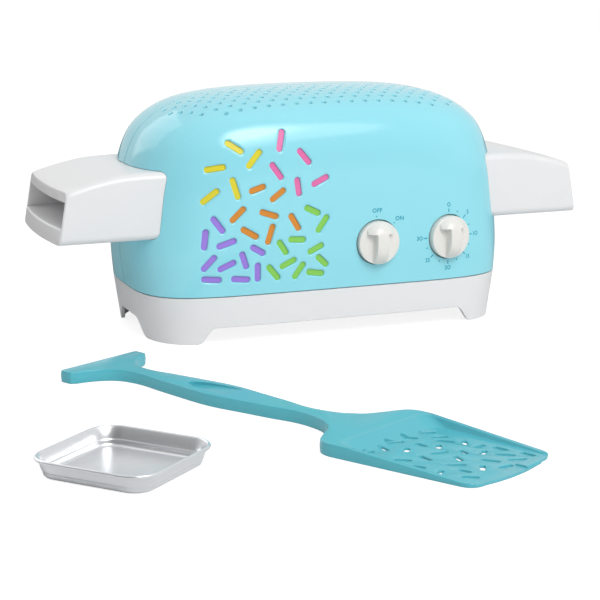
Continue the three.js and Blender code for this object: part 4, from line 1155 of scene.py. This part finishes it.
def printed_word(name, letters, x, z, width_share):
    """Text as mesh, centred on a point of the face."""
    curve = bpy.data.curves.new(name, "FONT")
    curve.body = letters
    curve.size = letter_height
    curve.align_x = "CENTER"
    curve.align_y = "CENTER"
    curve.extrude = ink_thickness
    curve.offset = ink_spread
    curve.space_character = letter_spacing
    curve.resolution_u = 3
    text = in_scene(name, curve)
    graph = bpy.context.evaluated_depsgraph_get()
    mesh = bpy.data.meshes.new_from_object(text.evaluated_get(graph))
    bpy.data.objects.remove(text)
    word = moved(in_scene(name, mesh), Matrix.Diagonal((width_share, 1, 1, 1)))
    return on_front(moved(word, Matrix.Translation((x, 0, z)) @ upright))


# Name, letters, place in x and z, and how wide the letters are by their own width
words = [("off", "OFF", 32.4, 106.3, 1.0), ("on", "ON", 53.5, 98.3, 1.0)]
for i, minutes in enumerate(range(0, 35, 5)):
    turn = radians(2 * mark_step_deg * i)
    x = timer_x + number_radius * sin(turn) * number_stretch
    z = dial_height + number_radius * cos(turn)
    letters = str(minutes).replace("0", "O")
    words.append((f"minutes_{minutes}", letters, x, z, number_width_share))
for name, *rest in words:
    settle(printed_word(f"print_{name}", *rest), "tool", dial_ink)

# %% Marks round the timer
mark_tree, size = start_tree("dial_marks", ["Width", "Thickness"])
tree = mark_tree
mark_length, mark_turn = (
    add(tree, "GeometryNodeInputNamedAttribute", {"Name": label}, data_type="FLOAT")
    for label in ("mark_length", "turn")
)
marking = {
    "Points": size["Geometry"],
    "Instance": add(tree, "GeometryNodeMeshCube", {"Size": (1, 1, 1)}),
    "Rotation": add(tree, "ShaderNodeCombineXYZ", {1: mark_turn}),
    "Scale": add(tree, "ShaderNodeCombineXYZ", [size["Width"], size["Thickness"], mark_length]),
}
end_tree(tree, size, add(tree, "GeometryNodeInstanceOnPoints", marking))
mark_radius = 23
mark_width = 0.95
long_mark, short_mark, dot_length = 3.2, 1.5, 1.2
mark_turns = [radians(mark_step_deg * i) for i in range(13)]
mark_places = [
    (timer_x + mark_radius * sin(turn), 0, dial_height + mark_radius * cos(turn))
    for turn in mark_turns
]
mark_lengths = [short_mark if i % 2 else long_mark for i in range(13)]
power_dots = [(31.8, 0, 101.3), (48.4, 0, 94.8)]
marks = grown(
    "dial_marks",
    mark_tree,
    {"Width": mark_width, "Thickness": 2 * ink_thickness, "Finish": dial_ink},
    mark_places + power_dots,
    {"turn": mark_turns + [0, 0], "mark_length": mark_lengths + [dot_length] * 2},
)
settle(on_front(marks), "tool", dial_ink)

# %% [markdown]
# ## Pan
# The pan is a rounded square pressed from thin sheet. Its profile climbs from the floor in a
# soft curve with a slight step, up a leaning wall, and ends in a rolled rim. Each point of
# the profile is one rounded square, set in from the rim, and the loft joins them all.

# %% Make the pan
pan_half = 47.5
pan_corner = 20
pan_depth = 14
pan_sheet = 0.8
pan_roll = 1.3
tightest_corner = 4
sheet_rise_share = 0.7  # of the sheet, from its lower face to the upper one


def pan_ring(half, z, corner_steps=14):
    """A rounded square at one height."""
    radius = max(pan_corner - (pan_half - half), tightest_corner)
    ring = []
    for quarter in range(4):
        start = quarter * pi / 2
        cx = np.sign(np.cos(start + pi / 4)) * (half - radius)
        cy = np.sign(np.sin(start + pi / 4)) * (half - radius)
        turns = start + (np.arange(corner_steps) + 0.5) / corner_steps * pi / 2
        ring += [(cx + radius * cos(t), cy + radius * sin(t), z) for t in turns]
    return ring


# Profile from the floor outwards to the rim: distance in from the rim, and height
profile = [
    (8.6, 0.0), (7.5, 0.2), (6.6, 0.7), (5.95, 1.5), (5.6, 2.6), (5.3, 4.0),
    (5.15, 4.4), (4.8, 4.65), (4.6, 5.0), (4.4, 5.7), (2.5, 11.4),
]
outside = [(pan_half - inset, z) for inset, z in profile]
roll = [
    (pan_half - pan_roll + pan_roll * cos(t), pan_depth - pan_roll + pan_roll * sin(t))
    for t in np.linspace(-pi * 0.75, pi * 0.9, 16)
]
inside = [(half - pan_sheet, z + pan_sheet * sheet_rise_share) for half, z in outside[::-1]]
pan = loft("pressed_pan", [pan_ring(half, z) for half, z in outside + roll + inside])
settle(pan, "pan", pan_aluminium, "baking_pan", place=pan_place, body="pan", sharp_deg=50)

# %% [markdown]
# ## Pan tool
# The tool is one teal moulding: a T-shaped pull, a waisted handle with a thumb rest, and a
# blade with a sunken floor. Its edges are rounded by lofting the outline set in along a
# quarter circle at the top and bottom. The blade's floor has strand-shaped slots, and its
# rim slopes down to the front, which is done last by scaling the heights.

# %% Outline of the tool
tool_length = 402
tool_half_width = 53
tool_thickness = 9.5
# Shares of the tool's length and half width, from the pull to the widest part of the blade
tool_side_shares = [
    (0.037, 0.7), (0.048, 0.49), (0.062, 0.33), (0.08, 0.21), (0.105, 0.15), (0.142, 0.138),
    (0.187, 0.187), (0.246, 0.24), (0.308, 0.289), (0.353, 0.292), (0.415, 0.24), (0.478, 0.189),
    (0.522, 0.138), (0.56, 0.145), (0.597, 0.21), (0.617, 0.3), (0.632, 0.38), (0.647, 0.55),
    (0.66, 0.75), (0.672, 0.9), (0.685, 0.97), (0.702, 1),
]
blade_front = 47
blade_corner = 14
blade_bow = 4
front_x = tool_length - blade_bow
corner_y = blade_front - blade_corner
knots = [(i, x * tool_length, y * tool_half_width) for i, (x, y) in enumerate(tool_side_shares)]
curved = [(x, y) for _, x, y in smooth_rows(knots, 6)]
pull = [
    (0.0, 20.0), (0.0, 38.5), (0.7, 40.3), (2.5, 41.0), (10.5, 41.0), (12.4, 40.4), (13.3, 38.8)
]
corner_start = (front_x - blade_corner, blade_front)
long_side = list(map(tuple, np.linspace(curved[-1], corner_start, 30)))[1:-1]
corner = bend(corner_start, (front_x, blade_front), (front_x, corner_y), steps=8)
bow = bend((front_x, corner_y), (tool_length + blade_bow, 0), (front_x, -corner_y), steps=12)
tool_outline = np.array(mirrored(pull + curved + long_side + corner + bow[1:6]), float)


def set_in(outline, distance):
    """The outline moved inwards along its own normals."""
    after, before = np.roll(outline, -1, axis=0), np.roll(outline, 1, axis=0)
    ahead, behind = after - outline, outline - before
    way = sum(part / np.linalg.norm(part, axis=1)[:, None] for part in (ahead, behind))
    way /= np.linalg.norm(way, axis=1)[:, None]
    area = np.sum(outline[:, 0] * after[:, 1] - after[:, 0] * outline[:, 1])
    return outline + distance * np.column_stack([-way[:, 1], way[:, 0]]) * np.sign(area)


print("tool outline points:", len(tool_outline))

# %% Make the tool's body
low_round = 0.6
high_round = 0.9
draft = 0.4  # how far the sides lean in at the top and bottom
parting_height = 5.5
low_edge = [(draft + inset, to_go) for inset, to_go in rounded_edge(low_round, 5)[::-1]]
high_edge = [
    (draft + inset, tool_thickness - to_go) for inset, to_go in rounded_edge(high_round, 6)
]
rings = [
    at_height(set_in(tool_outline, inset), z)
    for inset, z in [*low_edge, (0, parting_height), *high_edge]
]
tool = loft("moulded_tool", rings, flat_ends=True)
print("tool:", len(tool.data.polygons), "faces before it is cut")

# %% Sink the blade's floor, hollow the handle and cut the thumb rest
blade_floor = 2
tool_wall = 2.0
ceiling = 4.5
hollow_end = 283
back_round, back_straight = 12, 14  # corners of the sunken floor's back edge
thumb_start, thumb_end = 90, 146
thumb_reach, thumb_half_width = 45, 10.5
thumb_depth, thumb_brink = 3.2, 0.3
above_tool = 20


def recess_ring(back, rim, z):
    """Outline of the blade's sunken floor, open at the front, at one height."""
    side = tool_half_width - rim
    half = [
        (back, side - back_straight),
        *bend((back, side - back_round), (back, side), (back + back_round, side), steps=8),
        (tool_length - blade_corner, blade_front - rim),
        (tool_length + overrun, blade_front - rim),
    ]
    return at_height(mirrored(half), z)


# Back edge, rim and height: a rounded foot, a sloping back wall and a rounded brink
recess_rows = [
    (299, 6.3, blade_floor), (297.8, 5.6, blade_floor + 0.25), (297, 5.2, blade_floor + 0.8),
    (286.6, 4.6, 8.3), (285.6, 4.4, 8.9), (284.2, 4.1, 9.3), (282.8, 3.8, 9.5), (282.8, 3.8, 12),
]
cut(tool, loft("recess", [recess_ring(*row) for row in recess_rows], flat_ends=True))
hollow = prism("hollow", set_in(tool_outline, tool_wall), -overrun, ceiling, "z")
handle_part = block("handle_part", -overrun, hollow_end, -60, 60, -overrun, ceiling)
cut(tool, limit(hollow, handle_part))
turns = np.linspace(pi / 2, 3 * pi / 2, 24)
oval = [(thumb_end + thumb_reach * cos(t), thumb_half_width * sin(t)) for t in turns]
thumb = prism("thumb", oval, 0, above_tool, "z")
ramp = [
    (thumb_start, tool_thickness - thumb_depth), (thumb_end, tool_thickness - thumb_brink),
    (thumb_end, above_tool), (thumb_start, above_tool),
]
cut(tool, limit(thumb, prism("ramp", ramp, -above_tool, above_tool, "y")))
print("tool:", len(tool.data.polygons), "faces with its recesses")

# %% Slot the blade, slope its rim and add the tab
# Slots: centre, angle in degrees and length, as shares of the length and the half width
slot_shares = [
    (0.752, 0.59, 45, 0.22), (0.784, 0.54, 47, 0.22), (0.747, 0.25, 24, 0.23),
    (0.806, 0.44, 24, 0.25), (0.836, 0.55, 136, 0.19), (0.868, 0.54, 85, 0.19),
    (0.902, 0.64, 178, 0.23), (0.955, 0.67, 177, 0.23), (0.744, -0.04, 54, 0.26),
    (0.787, 0.1, 175, 0.2), (0.816, 0.19, 127, 0.18), (0.866, 0.21, 160, 0.18),
    (0.893, 0.36, 106, 0.18), (0.928, 0.46, 29, 0.26), (0.958, 0.4, 48, 0.26),
    (0.752, -0.34, 159, 0.21), (0.786, -0.19, 123, 0.19), (0.838, -0.02, 63, 0.25),
    (0.881, -0.06, 152, 0.22), (0.928, 0.13, 19, 0.26), (0.745, -0.58, 49, 0.15),
    (0.838, -0.32, 167, 0.24), (0.94, -0.17, 128, 0.21), (0.965, 0.06, 75, 0.23),
    (0.816, -0.57, 31, 0.23), (0.898, -0.28, 41, 0.25), (0.858, -0.66, 15, 0.2),
    (0.928, -0.42, 5, 0.19), (0.903, -0.7, 106, 0.25), (0.953, -0.57, 30, 0.23),
]
slot_places = [
    (x * tool_length, y * tool_half_width, turn_deg, share * tool_half_width)
    for x, y, turn_deg, share in slot_shares
]
slots = drills("slots", slot_places, width=4, lip=0.35, depth_mm=5, sides=22)
cut(tool, moved(slots, Matrix.Translation((0, 0, blade_floor))))
slope_start = 292
slope_run = tool_length - blade_corner - slope_start
blade_lip = 3.2
for vertex in tool.data.vertices:
    share = min(max((vertex.co.x - slope_start) / slope_run, 0), 1)
    top = tool_thickness + (blade_lip - tool_thickness) * share
    rise = vertex.co.z - blade_floor
    if rise > 0:
        vertex.co.z = blade_floor + rise * (top - blade_floor) / (tool_thickness - blade_floor)
tab = [(390, 0.8), (400.3, 0.8), (400.3, 2.6), (399.6, 3.1), (391, 2.7)]
join(tool, prism("tab", tab, low_end=10, high_end=26, axis="y"))
settle(tool, "tool", tool_abs, "pan_tool", place=tool_place, body="tool")

# %% [markdown]
# ## Screws
# Eight cross-head screws hold the oven together, four in deep holes at the back and four
# under the base. One tree makes a screw, a head with a cross-shaped recess on a plain shank,
# and puts it on every point.

# %% The screws' tree
screw_mm = {
    "Head Radius": 3.3, "Head Height": 2.1, "Shank Radius": 1.5, "Shank Length": 1.0, "Recess": 0.9
}
arm_share = 3.6  # length of the cross's arms, by their width
screw_tree, size = start_tree("screws", screw_mm)
tree = screw_tree
head, shank = (
    add(tree, "GeometryNodeMeshCylinder", {"Vertices": sides, "Radius": radius, "Depth": depth})
    for sides, radius, depth in (
        (32, size["Head Radius"], size["Head Height"]),
        (24, size["Shank Radius"], size["Shank Length"]),
    )
)
half_shank = add(tree, "ShaderNodeMath/MULTIPLY", [size["Shank Length"], -0.5])
down = add(tree, "ShaderNodeCombineXYZ", {2: half_shank})
shank_set = add(tree, "GeometryNodeTransform", {"Geometry": shank, "Translation": down})
arm = add(tree, "ShaderNodeMath/MULTIPLY", [size["Recess"], arm_share])
arm_size = add(tree, "ShaderNodeCombineXYZ", [arm, size["Recess"], size["Head Height"]])
half_head = add(tree, "ShaderNodeMath/MULTIPLY", [size["Head Height"], 0.5])
lift = add(tree, "ShaderNodeCombineXYZ", {2: half_head})
cross_cut = add(tree, "GeometryNodeMeshBoolean/DIFFERENCE", {"Mesh 1": head})
for turn in (0, pi / 2):
    bar = add(tree, "GeometryNodeMeshCube", {"Size": arm_size})
    laying = {"Geometry": bar, "Translation": lift, "Rotation": (0, 0, turn)}
    bar_set = add(tree, "GeometryNodeTransform", laying)
    tree.links.new(bar_set.outputs[0], cross_cut.inputs["Mesh 2"])
whole = add(tree, "GeometryNodeJoinGeometry", {"Geometry": shank_set})
tree.links.new(cross_cut.outputs[0], whole.inputs["Geometry"])
setting = {"Points": size["Geometry"], "Instance": whole}
end_tree(tree, size, add(tree, "GeometryNodeInstanceOnPoints", setting))
print("screw sizes in mm:", screw_mm)

# %% Set the screws
# Heads sit just in from their seats. Rear screws are made along z, then laid to face the back
head_in = 1.35
lay = Matrix(((1, 0, 0, 0), (0, 0, 1, 0), (0, 1, 0, 0), (0, 0, 0, 1)))
flip = Matrix.Rotation(pi, 4, "X")
for name, node, places, seat, shank_length, turn in (
    ("rear_screws", "shell_screw", post_places, head_seat, 29, lay),
    ("under_screws", "base_screw", boss_places, -deck_bottom, 18, flip),
):
    values = screw_mm | {"Shank Length": float(shank_length), "Finish": plated_steel}
    made = grown(name, screw_tree, values, [(x, y, seat + head_in) for x, y in places])
    replaced = [f"{node}_{i}" for i in range(1, 5)]
    settle(moved(made, turn), "bright_steel", plated_steel, *replaced)

# %% [markdown]
# ## Cord bushing
# A dark bushing lines the hole at the back. It is a turned shape: one profile swept round
# its axis.

# %% Make the bushing
# Radius and place along the axis, from the inner flange to the outer one and back by the bore
bushing_profile = [
    (3.8, -4.8), (8.4, -4.8), (8.4, -2.8), (5.4, -2.8), (5.4, 0.3), (8.4, 0.3), (8.2, 1.9),
    (7.8, 2.3), (4.2, 2.3), (3.8, 1.9),
]
bushing_sides = 64
count = len(bushing_profile)
turns = [2 * pi * k / bushing_sides for k in range(bushing_sides)]
bushing_points = [
    (r * cos(turn), y, r * sin(turn)) for turn in turns for r, y in bushing_profile
]
bushing_faces = [
    (k * count + i, k * count + j, after * count + j, after * count + i)
    for k, after in ((k, (k + 1) % bushing_sides) for k in range(bushing_sides))
    for i, j in ((i, (i + 1) % count) for i in range(count))
]
bushing = mesh_object("cord_bushing", bushing_points, bushing_faces)
settle(bushing, "dark_moulding", phenolic, "cord_gland", place=oven_place @ gland_face)

# %% [markdown]
# ## The pieces that stay as they are
# The works inside have plain engineered shapes, and the coloured panels show only through
# the strand openings. They keep their CAD meshes and get their real finishes.

# %% Finishes for the CAD pieces
cad_finishes = [
    (galvanised_steel, ["tunnel_tray", "tunnel_roof", "left_stand", "right_stand", "timer_unit"]),
    (plated_steel, ["inlet_flap", "outlet_flap", "inlet_flap_pin", "outlet_flap_pin"]),
    (plated_steel, ["heat_shield", "thermostat", "power_shaft", "timer_shaft"]),
    (heater_steel, ["heating_rod"]),
    (steatite, ["rod_holder_1", "rod_holder_2", "thermal_fuse", "terminal_block"]),
    (phenolic, ["power_switch"]),
    *((finish, [f"{colour}_inlay"]) for colour, finish in inlay_abs.items()),
]
for finish, names in cad_finishes:
    for name in names:
        nodes[name].data.materials.clear()
        nodes[name].data.materials.append(finish)
bpy.data.objects.remove(outer)
print("CAD pieces with new finishes:", sum(len(names) for _, names in cad_finishes))

# %% [markdown]
# ## Floor and light
# The photograph has a bare white ground. The floor looks white to the camera and keeps a
# soft shadow of the object; in reflections it is pale, with painted shade behind the oven. It
# lies a fifth of a millimetre under the soles, so the two never share a plane. Three round
# lamps, one inside the other, hang in front and above: they are one large softbox that is
# brighter in the middle, and make the long highlight on the housing's shoulder. A fourth,
# square, stands for a window behind.

# %% Floor
floor_z = -0.0002
floor_reach = 6


def seen_straight(tree):
    """The kinds of ray, and whether one comes from the camera or through something clear."""
    ray = add(tree, "ShaderNodeLightPath").outputs
    straight = [ray["Is Camera Ray"], ray["Is Transmission Ray"]]
    return ray, add(tree, "ShaderNodeMath/MAXIMUM", straight)


signs = ((-1, -1), (1, -1), (1, 1), (-1, 1))
corners = [(x * floor_reach, y * floor_reach, floor_z) for x, y in signs]
floor = mesh_object("floor", corners, [(0, 1, 2, 3)])
paper = bpy.data.materials.new("white_paper")
paper.use_nodes = True
tree = paper.node_tree
tree.nodes.clear()
ray, seen = seen_straight(tree)
shade = add(tree, "ShaderNodeBsdfDiffuse", {"Color": (0.3, 0.3, 0.3, 1)})
glow = add(tree, "ShaderNodeEmission", {"Color": (1, 1, 1, 1), "Strength": 0.86})
bright = add(tree, "ShaderNodeAddShader", [shade, glow])
# Painted shade: reflections see the floor darker behind the oven than in front of it
spot = add(tree, "ShaderNodeSeparateXYZ", [add(tree, "ShaderNodeNewGeometry")])
fade = {"Value": spot.outputs[1], "To Min": 0.85, "To Max": 0.3}
fade |= {"From Min": oven_middle.y - 0.05, "From Max": oven_middle.y + 0.15}
behind = add(tree, "ShaderNodeMapRange", fade)
floor_tone_with_painted_shade = add(tree, "ShaderNodeMix", {0: ray["Is Glossy Ray"], 2: 0.8, 3: behind})
plain = add(tree, "ShaderNodeBsdfDiffuse", {"Color": floor_tone_with_painted_shade})
add(tree, "ShaderNodeOutputMaterial", [add(tree, "ShaderNodeMixShader", [seen, plain, bright])])
floor.data.materials.append(paper)

# %% Lamps


def lamp(name, way, distance, target, size_m, watts, shape="ELLIPSE", roll_deg=0):
    """A soft lamp that stands some way off in a direction."""
    made = in_scene(name, bpy.data.lights.new(name, "AREA"))
    made.data.shape = shape
    made.data.size, made.data.size_y = size_m
    made.data.energy = watts
    made.location = oven_middle + Vector(target) + Vector(way).normalized() * distance
    facing = Vector(way).to_track_quat("Z", "Y").to_matrix()
    made.rotation_euler = (facing @ Matrix.Rotation(radians(roll_deg), 3, "Z")).to_euler()


for name, way, size_m, watts in (
    ("softbox", (0.12, -0.75, 0.64), (1.75, 2.0), 18),
    ("softbox_middle", (0.08, -0.74, 0.66), (1.4, 1.5), 10),
    ("softbox_core", (0.08, -0.73, 0.68), (1.05, 0.95), 10),
):
    lamp(name, way, 2.6, (-0.01, 0, 0.13), size_m, watts)
end_of_oven = (-0.145, -0.035, 0.17)
lamp("end_window", (-0.46, 0.7, 0.54), 1.45, end_of_oven, (1.2, 1.05), 4, "RECTANGLE", 35)

# %% [markdown]
# The sky gives the even part of the light. It is a little stronger from above and weaker
# from both sides, so the ends of the body are in half shade as in the photograph. The
# camera sees it white. Shiny surfaces see it bright towards the back right and darker
# towards the front left, which gives the glossy plastic its depth.

# %% Sky
sky = bpy.data.worlds.new("sky")
bpy.context.scene.world = sky
sky.use_nodes = True
tree = sky.node_tree
tree.nodes.clear()
ray, seen = seen_straight(tree)
way = add(tree, "ShaderNodeTexCoord").outputs["Generated"]
lean, toward_back = (
    add(tree, "ShaderNodeVectorMath/DOT_PRODUCT", [way, direction]).outputs["Value"]
    for direction in ((0.06, -0.04, 0.07), (0.62, 0.74, 0.26))
)
axes = add(tree, "ShaderNodeSeparateXYZ", [way])
sideways = add(tree, "ShaderNodeMath/POWER", [axes.outputs[0], 2.0])
sides_weaker = add(tree, "ShaderNodeMath/MULTIPLY_ADD", [sideways, -0.2, 0.51])
even = add(tree, "ShaderNodeMath/ADD", [lean, sides_weaker])
fade = {"Value": toward_back, "From Min": -0.9, "From Max": 0.3, "To Min": 0.15, "To Max": 0.9}
shiny = add(tree, "ShaderNodeMapRange", fade)
level_seen = add(tree, "ShaderNodeMix", {0: ray["Is Glossy Ray"], 2: even, 3: shiny})
strength = add(tree, "ShaderNodeMix", {0: seen, 2: level_seen, 3: 1.0})
white = {"Color": (1, 1, 1, 1), "Strength": strength}
add(tree, "ShaderNodeOutputWorld", [add(tree, "ShaderNodeBackground", white)])
bpy.context.scene.view_settings.view_transform = "Standard"
print("sky:", sky.name)
